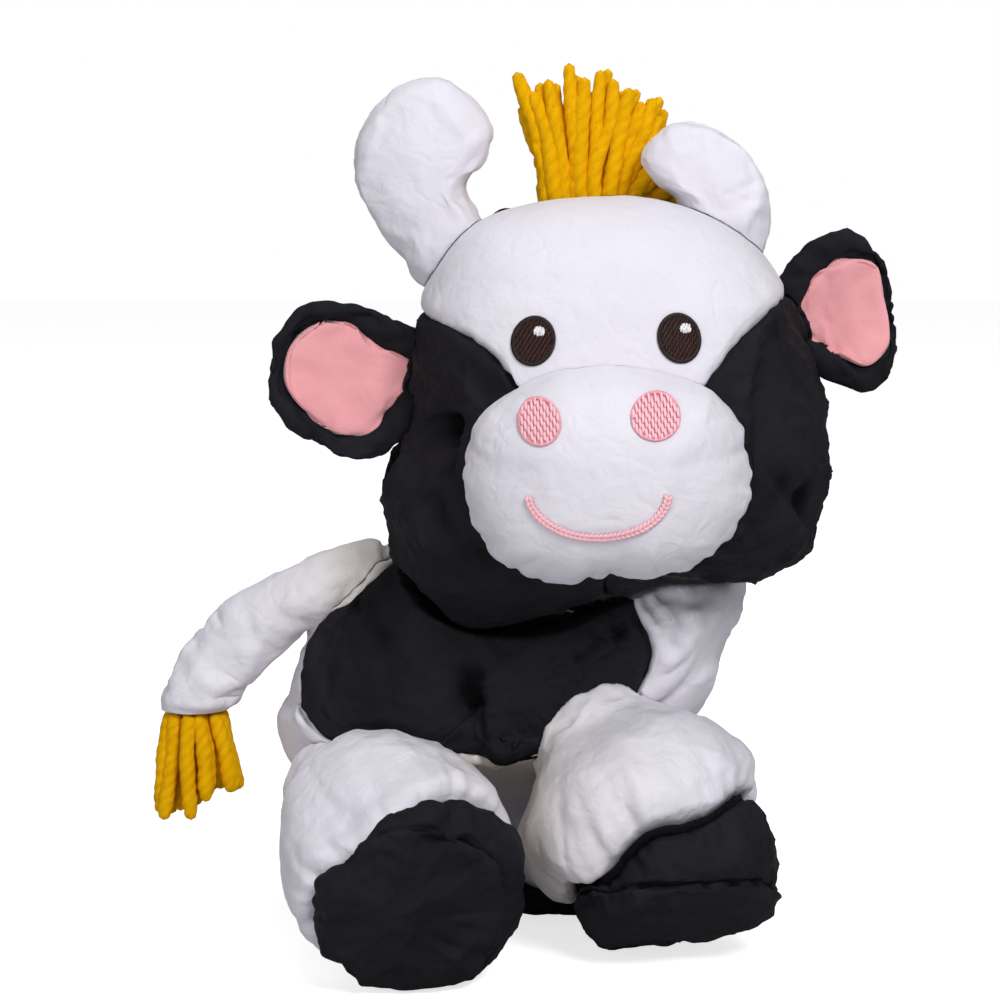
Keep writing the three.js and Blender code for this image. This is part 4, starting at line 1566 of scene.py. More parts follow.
@dataclass
class Head:
    """The head: a white face between two black cheeks, and a black back.

    Attributes:
        seam_left: the seam of the face and the left cheek, in X and Z.
        seam_right: the seam of the face and the right cheek.
        chin: the direction of the seam between the cheeks, from the middle.
        back_y: where the seam of the back lies, in Y.
        face_loose: the share of the simulated movement that the face keeps.
        seam_gathers: the height of the puckers along the right, the left and the chin's seam.
        seam_length: after how far those puckers repeat.
        seam_puckers: their two wavelengths.
        columns: columns of the face, the left and the right cheek.
        under_muzzle: how many rows the muzzle hides.
    """

    seam_left: Pairs = ((-60, 232), (-27, 238), (-10, 232), (0, 224), (6, 214))
    seam_right: Pairs = ((74, 216), (80, 225), (90, 236), (107, 246), (140, 250))
    chin: float = math.radians(269)
    back_y: float = -8.0
    fabric: Fabric = Fabric(1.7, 1.8, 1.0, ((1.4, 40.0), (0.6, 18.0)), cap=4.5)
    face_loose: float = 0.15
    seam_gathers: tuple[float, float, float] = (0.7, 0.7, 1.2)
    seam_length: float = 160.0
    seam_puckers: Spot = (12.0, 26.0)
    seed: int = 5
    columns: tuple[int, int, int] = (106, 116, 118)
    front_rows: int = 106
    back_rows: int = 50
    under_muzzle: int = 34
    folds: tuple[Crease, ...] = (
        Crease((117, 154), (92, 190), 5.0, 0.9, 9.0),
        Crease((105, 140), (86, 164), 3.0, 1.2, 10.0),
        Crease((108, 206), (100, 232), 1.8, 1.3, 10.0),
        Crease((96, 205), (78, 207), 2.4, 1.0, 7.0),
        Crease((-29, 199.5), (-9.5, 206.4), 4.0, 0.9, 9.0),
        Crease((-18, 176), (-38, 164), 3.4, 1.0, 11.0),
        Crease((-4, 144), (-26, 138), 3.0, 1.1, 11.0),
        Crease((-26, 180), (-12.5, 197), 4.0, 0.9, 5.0),
        Crease((-38, 156), (-20, 150), 2.8, 1.0, 9.0),
    )
    nudges: tuple[Nudge, ...] = (
        Nudge((60, -31, 134), (0, 0, 5), 22),
        Nudge((101, -66, 174), (-8, 8, 3), 8),
        Nudge((112, -55, 171), (-9, 6, 3), 9),
        Nudge((-21, -68, 198), (6, 7, 0), 8),
        Nudge((-18, -68, 172), (5, 6, 1), 11),
        Nudge((115, -36, 169), (-3, 1, 0), 9),
        Nudge((121, -31, 187), (-4, 0, 0), 11),
        Nudge((-28, -58, 194), (3, 6, 0), 11),
        Nudge((-34, -48, 152), (3, 4, 0), 9),
        Nudge((118, -28, 147), (6, 0, -2), 5),
        Nudge((122, -28, 150), (-4, 0, 2), 9),
        Nudge((-43, -31, 180), (4, 0, 0), 9),
        Nudge((-45, -31, 168), (-2, 0, 0), 7),
        Nudge((-44, -31, 146), (-3, 0, -1), 8),
    )

    def seam_angle(self, seam: Pairs, share: np.ndarray) -> np.ndarray:
        """The direction of a seam from the head's middle, at shares of the way to the outline.

        Args:
            seam: the points of the seam, in X and Z.
            share: the shares, one for each row.

        Returns:
            The direction at each share, in radians.
        """
        cx, _, cz = HEAD.centre
        line = smooth_line(np.array(seam, float), False) - np.array([cx, cz])
        reach = np.hypot(line[:, 0], line[:, 1])
        order = np.argsort(reach)
        turn = np.mod(np.arctan2(line[:, 1], line[:, 0]), 2 * math.pi)[order]
        angle = np.full(len(share), turn[0])
        for _ in range(4):
            rim = radius_by_angle(HEAD.points, (cx, cz), angle)
            angle = np.interp(share * rim, reach[order], turn)
        return angle

    def build(self) -> Skin:
        """Works out the head, with a column of the grid along each seam of the face.

        Returns:
            The head's skin.
        """
        cx, _, cz = HEAD.centre
        back = -math.asin(((self.back_y - HEAD.centre[1]) / HEAD.far) ** (1 / HEAD.fullness))
        turn = stretched([QUARTER, back, -QUARTER], [self.front_rows, self.back_rows])[:, 0]
        share = np.where(turn > 0, np.clip(np.cos(turn), 0, 1) ** HEAD.fullness, 1.0)
        left, right = (self.seam_angle(s, share) for s in (self.seam_left, self.seam_right))
        chin = np.full_like(left, self.chin)
        corners = [right, left, chin, right + 2 * math.pi]
        angle = np.hstack([
            start[:, None] + (end - start)[:, None] * (np.arange(count) / count)[None, :]
            for start, end, count in zip(corners[:-1], corners[1:], self.columns)
        ])
        reach = radius_by_angle(HEAD.points, (cx, cz), angle)
        rim = np.stack([cx + reach * np.cos(angle), cz + reach * np.sin(angle)], axis=-1)
        skin = Skin(HEAD.surface(rim, turn[:, None]))
        brow, cheek = self.columns[0], self.columns[0] + self.columns[1]
        held = skin.held(self.front_rows, slice(0, self.under_muzzle))
        for column in (0, brow, cheek):
            held[:self.front_rows, column] = 1.0
        white = np.zeros(angle.shape)
        white[:self.front_rows, :brow] = 1.0
        black = 1.0 - white
        loose = self.face_loose + (1.0 - self.face_loose) * black
        skin.inflate(held, self.fabric, loose[..., None])
        skin.points = nudged(skin.points, self.nudges)
        calm = 1.0 - 0.75 * eased(195.0, 235.0, skin.points[..., 2])
        from_back = skin.from_row(self.front_rows)
        relief = uneven(skin.points, self.seed, self.fabric.lumps) * calm * (0.15 + 0.85 * black)
        rough = 1.0 + 1.2 * eased(0.0, 12.0, from_back)
        rough = self.fabric.wrinkle * rough * black + 0.1 * white
        relief += rough * wrinkles(skin.points, self.seed)
        relief += skin.gather_row(self.front_rows, self.fabric.gather, 31) * calm
        relief += groove(from_back) - self.fabric.below + 0.8 * white
        front = np.arange(len(turn))[:, None] <= self.front_rows
        for seed, (column, height) in enumerate(zip((0, brow, cheek), self.seam_gathers), 40):
            away = skin.from_column(column)
            wave = sum(
                gathers(skin.down, self.seam_length, away, size, seed + 10 * k)
                for k, size in enumerate(self.seam_puckers)
            )
            relief += np.where(front, height * wave + groove(away, 1.2, 1.6), 0.0)
        side = eased(HEAD.centre[1] + 20.0, HEAD.centre[1], skin.points[..., 1])
        relief += folded(self.folds, skin.points) * side
        skin.push(relief)
        # Painted shade in the hollows of the black cheeks and back.
        skin.tint_and_shade = skin.hollow_shade() * black
        return skin

    def dress(self, skin: Skin) -> None:
        """Makes the four panels.

        Args:
            skin: the head's skin.
        """
        brow, cheek, end = np.cumsum(self.columns).tolist()
        front, last = self.front_rows, len(skin.points) - 1
        for name, finish, columns, nodes in (
            ("face_panel", WHITE, (0, brow), ("face_panel", "head_filling")),
            ("cheek_left", BLACK, (brow, cheek), ("cheek_left",)),
            ("cheek_right", BLACK, (cheek, end), ("cheek_right",)),
        ):
            piece = skin.panel(f"{name}_cloth", (1, front), columns)
            dress(piece, finish, "head", nodes)
        piece = skin.panel("head_back_cloth", (front, last), cut=Cut.BACK)
        dress(piece, BLACK, "head", ("head_back",))


MUZZLE = Puff(
    centre=(38, -80, 186),
    points=(
        (5, 217), (-9, 206), (-14, 188), (-12, 168), (-2, 152), (18, 145), (40, 145), (62, 147),
        (80, 156), (90, 172), (90, 194), (82, 212), (66, 221), (40, 226), (18, 223),
    ),
    near=38,
    far=30,
)


@dataclass
class Muzzle:
    """The white pouch over the lower face, gathered on along its rim.

    Attributes:
        thread_rows: how many rows the embroidery holds half still.
    """

    fabric: Fabric = Fabric(2.0, 3.0, 0.15, ((0.35, 34.0),), loose=0.25, growth=0.05)
    seed: int = 7
    columns: int = 240
    front_rows: int = 62
    back_rows: int = 30
    thread_rows: int = 20
    folds: tuple[Crease, ...] = (
        Crease((55, 146), (56, 163), 1.8, 0.7, 5.0),
        Crease((29, 144), (28, 160), 1.1, 0.7, 5.0),
        Crease((40, 145), (41, 158), 0.9, 0.8, 6.0),
        Crease((3, 214), (8, 203), 1.0, 0.7, 6.0),
        Crease((74, 206), (78, 217), 1.2, 0.7, 6.0),
    )

    def build(self, head: Wall) -> Skin:
        """Works out the pouch, scalloped along its rim and set on the head.

        Args:
            head: the outside of the head.

        Returns:
            The pouch's skin.
        """
        rim = outline(MUZZLE.points, self.columns)
        turn = stretched([QUARTER, 0.0, -QUARTER], [self.front_rows, self.back_rows])
        skin = Skin(MUZZLE.surface(rim, turn))
        held = skin.held(slice(self.front_rows, None))
        held[:self.thread_rows] = 0.4
        skin.inflate(held, self.fabric)
        relief = uneven(skin.points, self.seed, self.fabric.lumps) - self.fabric.below
        relief -= 0.9 * eased(0.0, 1.0, -turn)
        relief += self.fabric.wrinkle * wrinkles(skin.points, self.seed)
        calm = 1.0 - 0.75 * eased(190.0, 214.0, skin.points[..., 2])
        relief += skin.gather_row(self.front_rows, self.fabric.gather, 61) * calm
        relief += groove(skin.from_row(self.front_rows), 1.2, 1.8)
        skin.push(relief + folded(self.folds, skin.points))
        skin.points = clear_of(skin.points, head.room, np.array([0.0, -90.0, 0.0]))
        return skin

    def dress(self, skin: Skin) -> None:
        """Makes the pouch."""
        piece = skin.panel("muzzle_cloth", (0, len(skin.points) - 1))
        dress(piece, WHITE, "head", ("muzzle_cover", "muzzle_filling"))


@dataclass
class Horn:
    """A horn stuffed like a mitten, two flat pieces sewn along their outline.

    Attributes:
        foot: the step that takes its foot out of the head.
    """

    name: str
    form: Puff
    seed: int
    foot: Place
    fabric: Fabric = Fabric(
        0.8, 1.6, 0.35, ((0.5, 30.0), (0.2, 13.0)), cap=3.0, loose=0.7, growth=0.05
    )
    columns: int = 148
    rows: int = 32

    def build(self, head: Wall) -> Skin:
        """Works out the horn, gathered a little along its seam, its foot set on the head.

        Args:
            head: the outside of the head.

        Returns:
            The horn's skin.
        """
        rim = outline(self.form.points, self.columns)
        turn = stretched([QUARTER, 0.0, -QUARTER], [self.rows, self.rows])
        skin = Skin(self.form.surface(rim, turn))
        skin.inflate(skin.held(self.rows, root=HEAD), self.fabric)
        relief = uneven(skin.points, self.seed, self.fabric.lumps) - self.fabric.below
        relief += self.fabric.wrinkle * wrinkles(skin.points, self.seed)
        relief += skin.gather_row(self.rows, self.fabric.gather, self.seed + 2)
        relief += groove(skin.from_row(self.rows), 0.9, 1.4)
        skin.push(relief)
        skin.points = clear_of(skin.points, head.room, np.array(self.foot, float))
        return skin

    def dress(self, skin: Skin) -> None:
        """Makes the horn."""
        piece = skin.panel(f"{self.name}_cloth", (0, len(skin.points) - 1))
        dress(piece, WHITE, "head", (f"{self.name}_cover", f"{self.name}_filling"))


HORNS = (
    Horn(
        "horn_left",
        Puff(
            centre=(-28, -15, 287),
            points=(
                (-26, 244), (-39, 259), (-50, 276), (-55, 294), (-50, 309), (-38, 322),
                (-24, 325), (-11, 318), (-2, 305), (-5, 294), (-12, 285), (-6, 270), (0, 252),
                (-12, 240),
            ),
            near=20,
            far=20,
        ),
        71,
        (-28, 0, 76),
    ),
    Horn(
        "horn_right",
        Puff(
            centre=(82, -15, 281),
            points=(
                (52, 294), (57, 303), (68, 308), (80, 305), (92, 297), (101, 281), (101, 264),
                (94, 248), (76, 250), (67, 267), (66, 279), (58, 285),
            ),
            near=17,
            far=17,
        ),
        81,
        (24, 0, 76),
    ),
)


@dataclass
class Ear:
    """An ear: a black pad whose rim rolls over a pink lining, cupped towards the viewer.

    Attributes:
        lining: the lining's seam.
        cup: how far the cup's middle lies behind its rim at a span from the middle.
        span: the ear's half size.
        roll: how far the rolled border comes inwards over the lining.
        roll_rise: the height of the roll.
        roll_place: how far the roll's top lies from the seam.
        roll_width: the width of the roll.
        middle: within how far of the middle the border's move inwards dies away.
    """

    name: str
    form: Puff
    lining: Pairs
    cup: float
    bend: Bend
    seed: int
    nudges: tuple[Nudge, ...] = ()
    fabric: Fabric = Fabric(1.3, 0.8, 1.5, ((0.5, 17.0),), cap=2.2, growth=0.05, pressure=2.0)
    lining_fabric: Fabric = Fabric(0.3, 0.8, 0.3, ())
    span: float = 30.0
    roll: float = 4.5
    roll_rise: float = 1.2
    roll_place: float = 6.0
    roll_width: float = 5.0
    middle: float = 16.0
    columns: int = 128
    lining_rows: int = 20
    roll_rows: int = 16
    back_rows: int = 24

    def build(self, head: Wall) -> Skin:
        """Works out the ear: the pad, bent into a cup, its border rolled up round the lining.

        Args:
            head: the outside of the head.

        Returns:
            The ear's skin.
        """
        cx, _, cz = self.form.centre
        rim = outline(self.form.points, self.columns)
        share = np.minimum(self.form.share_of(rim, self.lining), 0.985)
        edge = self.form.turn_at(share)
        rows = [self.lining_rows, self.roll_rows, self.back_rows]
        points = self.form.surface(rim, stretched([QUARTER, edge, 0.0, -QUARTER], rows))
        out = np.hypot(points[..., 0] - cx, points[..., 2] - cz) / self.span
        points[..., 1] -= self.cup * (out**2 - 0.5)
        skin = Skin(points)
        seam_row = self.lining_rows
        skin.inflate(skin.held(seam_row, root=HEAD), self.fabric)
        seam = skin.from_row(seam_row)
        border = np.arange(len(points))[:, None] > seam_row
        roll = np.exp(-(((seam - self.roll_place) / self.roll_width) ** 2)) * border
        roll *= self.roll_rise * (1.0 - eased(0.82, 0.96, share))
        relief = uneven(points, self.seed, self.fabric.lumps) - self.fabric.below
        relief += roll + groove(seam, 1.1, 1.8)
        for fabric, side, seed in ((self.fabric, 1.0, 1), (self.lining_fabric, -1.0, 2)):
            relief += skin.gather_row(seam_row, fabric.gather, self.seed + seed, side)
        rough = np.where(border, self.fabric.wrinkle, self.lining_fabric.wrinkle)
        relief += rough * wrinkles(0.8 * points, self.seed)
        inward = (np.array([cx, 0.0, cz]) - skin.points) * np.array([1.0, 0.0, 1.0])
        inward = unit(inward, self.middle)
        skin.points += inward * (self.roll * eased(8.0, 20.0, seam * border))[..., None]
        skin.push(relief)
        skin.points = nudged(skin.points, self.nudges)
        away = (skin.points - np.array(HEAD.centre)) * np.array([1.0, 0.0, 1.0])
        skin.points = clear_of(skin.points, head.room, away)
        return skin

    def dress(self, skin: Skin) -> None:
        """Makes the lining and the pad.

        Args:
            skin: the ear's skin.
        """
        piece = skin.panel(f"{self.name}_pink", (0, self.lining_rows))
        dress(piece, EAR_PINK, self.name, (f"{self.name}_lining",), self.bend)
        piece = skin.panel(f"{self.name}_black", (self.lining_rows, len(skin.points) - 1))
        dress(piece, BLACK, self.name, (f"{self.name}_back",), self.bend)


EARS = (
    Ear(
        "ear_left",
        Puff(
            centre=(-56.2, -24, 213.8),
            points=(
                (-24, 230), (-36, 237), (-53, 242), (-68, 241), (-80, 233), (-87, 214),
                (-84, 199), (-70, 189), (-54, 182), (-38, 187), (-24, 198),
            ),
            near=8,
            far=8,
        ),
        (
            (-31, 216), (-48, 227), (-58, 234), (-70, 234), (-80, 225), (-83, 211), (-76, 200),
            (-62, 191), (-50, 192), (-40, 204),
        ),
        7.0,
        Bend("head", (-34, -24, 214), (-52, -24, 214)),
        91,
        (Nudge((-88, -24, 202), (2.5, 0, 1), 22),),
    ),
    Ear(
        "ear_right",
        Puff(
            centre=(125.2, -16, 236.9),
            points=(
                (102, 250), (112, 260), (126, 266), (140, 260), (150, 238), (150, 220),
                (138, 208), (124, 211), (108, 222), (102, 234),
            ),
            near=8,
            far=8,
        ),
        (
            (114, 232), (118, 250), (130, 258), (142, 256), (150, 240), (150, 225), (139, 216),
            (124, 224),
        ),
        6.0,
        Bend("head", (112, -16, 236), (128, -16, 238)),
        101,
        (Nudge((152, -16, 234), (-4, 0, 0), 20),),
    ),
)


# Yarn


@dataclass(frozen=True)
class Strand:
    """A strand of three-ply yarn along a route.

    The radius is 0.88 and 0.12 times the cosine's size at one and a half times the turn round
    the strand, less the twist so far, times the strand's own, and uneven by a tenth; it rounds
    off at both ends.
    """

    route: tuple[Place, ...]
    radius: float
    phase: float = 0.0
    pitch: float = 17.0
    fray: float = 0.25
    rows: int = 44
    columns: int = 18

    def build(self) -> tuple[np.ndarray, np.ndarray, np.ndarray]:
        """Works out the strand: its points, its map along the plies, and how deep they lie, which
        is painted as shade.

        Returns:
            The points, the map and the depths for the painted shade, each as a grid of rings.
        """
        line = evenly(smooth_line(np.array(self.route, float), False), self.rows + 1, False)
        length = steps_of(line).sum()
        share = np.linspace(0.0, 1.0, self.rows + 1)[:, None]
        turn = circle(self.columns)
        twist = 2 * math.pi * share * length / self.pitch + self.phase
        ply = np.abs(np.cos(1.5 * (turn - twist)))
        end = np.minimum(share, 1.0 - share) * length / self.radius
        blunt = np.clip(1.0 - (1.0 - np.minimum(end, 1.0)) ** 2, 0.0, 1.0) ** 0.35
        blunt = blunt * (1.0 - self.fray * eased(0.78, 1.0, share))
        smooth = tube(line, self.radius * np.ones_like(ply))
        uneven = 1.0 + 0.1 * lumps(line, 9.0, 5)[:, None] + 0.07 * lumps(smooth, 3.4, 6)
        wide = self.radius * (0.88 + 0.12 * ply) * blunt * uneven
        points = tube(line, wide)
        around = np.concatenate([turn, [2 * math.pi]]) - twist
        chart = np.stack([self.radius * around, np.broadcast_to(share * length, around.shape)], -1)
        return points, chart, 0.4 * (1.0 - ply) ** 2 * np.ones_like(share)


def yarn_piece(
    name: str, strands: list[Strand], wall: Wall | None = None, out: Place = (0, 0, 0)
) -> bpy.types.Object:
    """Several strands as one mesh, slid clear of what they stand on.

    Args:
        name: the piece's name.
        strands: the strands, all with as many rows and columns.
        wall: what they stand on, if they do.
        out: the step that takes a point out of it.

    Returns:
        The object.
    """
    built = [strand.build() for strand in strands]
    points = np.stack([points for points, _, _ in built])
    if wall:
        points = clear_of(points, wall.room, np.array(out, float))
    rows, columns = points.shape[1:3]
    sign = Skin(points[0]).sign
    ids, faces = grid_faces(rows, columns, True, True, True, sign)
    index = np.unique(ids, return_index=True)[1]
    corners = grid_corners(rows, columns, True, True, True, sign)
    count = len(index)
    all_faces = [[v + k * count for v in face] for k in range(len(built)) for face in faces]
    # The strands' depths between the plies go in as painted shade.
    mesh = mesh_of(
        name, in_frame(points.reshape(len(built), -1, 3)[:, index].reshape(-1, 3)), all_faces,
        np.concatenate([chart.reshape(-1, 2)[corners] for _, chart, _ in built]),
        np.concatenate([depth.reshape(-1)[index] for _, _, depth in built]),
    )
    return placed(name, mesh)


@dataclass
class Forelock:
    """The upright tuft of fat yarn on the crown, its strands in clumps.

    Attributes:
        strands: the foot's X, the tip's X and Z, and the tip's Y from the foot, of each strand.
        behind: what a second layer, of every other strand, adds to those.
    """

    foot_y: float = 1.0
    foot_z: float = 272.0
    radius: float = 3.0
    behind: tuple[float, float, float, float] = (1.5, 1.8, -5.0, 5.0)
    strands: tuple[tuple[float, float, float, float], ...] = (
        (19, 6, 325, 0), (20, 8, 312, 3), (22, 12, 317, -3), (23, 15, 320, 0), (25, 18, 321, -3),
        (26, 21, 319, 1), (24, 14, 306, 4), (28, 26, 326, -2), (29, 29, 321, 1), (31, 32, 320, -3),
        (29, 25, 311, 4), (33, 35, 314, 2), (34, 38, 322, -3), (35, 41, 322, 0), (36, 43, 318, -3),
        (34, 36, 306, 4), (38, 46, 313, 1), (40, 49, 314, -4), (41, 52, 313, 0), (43, 54, 308, -3),
        (40, 44, 303, 4), (45, 58, 309, -2), (46, 61, 309, 1), (44, 53, 299, 4),
        (47, 61, 302, -2), (49, 63, 294, 1), (18, 13, 299, 1), (51, 66, 288, -1),
        (53, 69, 283, 2), (50, 61, 286, -4), (56, 72, 279, 0),
    )

    def dress(self, head: Wall) -> None:
        """Makes the tuft.

        Args:
            head: the outside of the head.
        """
        rng = np.random.default_rng(7)
        strands = []
        behind = np.array(self.strands[::2]) + self.behind
        for foot, tip, top, y in (*self.strands, *behind.tolist()):
            top += 0.12 * (tip - 10.0)
            sway = rng.uniform(-1.6, 1.6, 5)
            rise = top - self.foot_z
            route = (
                (foot, self.foot_y + 0.4 * y, self.foot_z),
                (foot + 0.22 * (tip - foot) + sway[0], self.foot_y + 0.7 * y + sway[1],
                 self.foot_z + 0.38 * rise),
                (foot + 0.58 * (tip - foot) + sway[2], self.foot_y + y + sway[3],
                 self.foot_z + 0.7 * rise),
                (tip, self.foot_y + y + sway[4], top + 2.0),
            )
            size = self.radius * rng.uniform(0.85, 1.15)
            strands.append(Strand(route, size, rng.uniform(0.0, 6.0)))
        piece = yarn_piece("forelock_yarn", strands, head, (0, 0, 30))
        dress(piece, GOLD_YARN, "head", ("forelock",))


# Tail


@dataclass
class Tail:
    """A short fat tube, its end gathered round a tassel of yarn.

    Attributes:
        route: the middle of the tube, from inside the trunk to the tassel.
        bottom: how high the tassel ends over the floor.
    """

    route: tuple[Place, ...] = (
        (-38, 0, 138), (-54, 0, 133.5), (-70, 0, 128), (-92, 1, 115), (-108, 3, 99),
        (-118.5, 4, 80.6),
    )
    radius: float = 13.2
    fabric: Fabric = Fabric(
        1.3, 0.0, 0.8, ((0.7, 26.0), (0.3, 12.0)), cap=2.0, growth=0.04, pressure=2.0
    )
    seed: int = 111
    rows: int = 96
    cap_rows: int = 12
    columns: int = 96
    bend: Bend = Bend("torso", (-58, 0, 132), (-86, 0.5, 120))
    folds: tuple[Crease, ...] = (
        Crease((-70, 113), (-58, 134), 2.0, 1.0, 8.0),
        Crease((-98, 92), (-92, 108), 1.6, 1.0, 7.0),
        Crease((-78, 135), (-84, 122), 1.4, 1.0, 7.0),
        Crease((-122, 96), (-108, 90), 1.2, 1.0, 6.0),
    )
    bottom: float = 37.0
    strand_radius: float = 3.1
    strands: int = 19

    def build(self, torso: Wall) -> Skin:
        """Works out the tube, its last rings level, its root set on the torso.

        Args:
            torso: the outside of the trunk.

        Returns:
            The tube's skin.
        """
        line = evenly(smooth_line(np.array(self.route, float), False), self.rows + 1, False)
        cap = np.linspace(0.0, 1.0, self.cap_rows + 1)[1:]
        whole = np.vstack([line, line[-1] - UP * 0.12 * np.arange(1, self.cap_rows + 1)[:, None]])
        share = np.linspace(0.0, 1.0, self.rows + 1)
        length = steps_of(line).sum()
        dome = np.clip(share * length / self.radius, 0.0, 1.0)
        hem = 1.0 - 0.1 * eased(0.94, 1.0, share)
        radius = self.radius * np.sqrt(1.0 - (1.0 - dome) ** 2) * hem
        radius = np.concatenate([radius, 0.9 * self.radius * np.cos(QUARTER * cap)])
        points = tube(whole, np.repeat(radius[:, None], self.columns, axis=1))
        along = np.gradient(whole, axis=0)[:, None]
        level = np.concatenate([eased(0.7, 0.97, share), np.ones(self.cap_rows)])[:, None, None]
        slope = (points - whole[:, None])[..., 2:] / along[..., 2:]
        points -= level * along * slope
        points[-1] = whole[-1]
        skin = Skin(points)
        skin.inflate(skin.held(slice(self.rows - 2, None), root=TORSO), self.fabric)
        relief = uneven(skin.points, self.seed, self.fabric.lumps)
        relief += self.fabric.wrinkle * wrinkles(skin.points, self.seed - 100)
        relief += skin.gather_row(self.rows, self.fabric.gather, self.seed + 2, -1.0)
        relief += folded(self.folds, skin.points) * eased(6.0, -4.0, skin.points[..., 1])
        fade = 1.0 - eased(self.rows - 3, self.rows, np.arange(len(points)))[:, None]
        skin.push(relief * fade)
        skin.points = clear_of(skin.points, torso.room, np.array([-70.0, 0.0, -30.0]))
        # A beige tint near the tail's root, partly yellowing and partly painted shade.
        skin.tint_and_shade = 0.9 * beige_tint_and_shade_near(skin.points)
        return skin

    def tassel(self) -> list[Strand]:
        """The tassel's strands: one in the middle and the others fanned out round it.

        Returns:
            The strands.
        """
        rng = np.random.default_rng(12)
        x, y, z = self.route[-1]
        strands = []
        for i in range(self.strands):
            ring = 0.0 if i == 0 else (0.5 if i % 3 == 0 else 1.0)
            turn = 2 * math.pi * i / (self.strands - 1)
            out, back = ring * math.cos(turn), ring * math.sin(turn)
            tip = self.bottom + 0.5 + 9.5 * float(eased(-0.3, 0.3, out)) + rng.uniform(-1.0, 2.0)
            sway = rng.uniform(-1.4, 1.4, 4)
            route = (
                (x + 9.8 * out, y + 8.5 * back, z - 1.0),
                (x + 0.5 + 13.5 * out + sway[0], y + 9.5 * back + sway[1], z - 17),
                (x + 0.8 + 16.0 * out + sway[2], y + 9.0 * back + sway[3], tip),
            )
            strands.append(Strand(route, self.strand_radius, rng.uniform(0.0, 6.0), pitch=14.0))
        return strands

    def dress(self, skin: Skin) -> None:
        """Makes the tube and its tassel.

        Args:
            skin: the tube's skin.
        """
        piece = skin.panel("tail_tube", (0, len(skin.points) - 1), cut=Cut.TUBE)
        dress(piece, WHITE, "tail", ("tail_cover", "tail_filling"), self.bend)
        dress(yarn_piece("tail_yarn", self.tassel()), GOLD_YARN, "tail", ("tail_tassel",))


# Legs


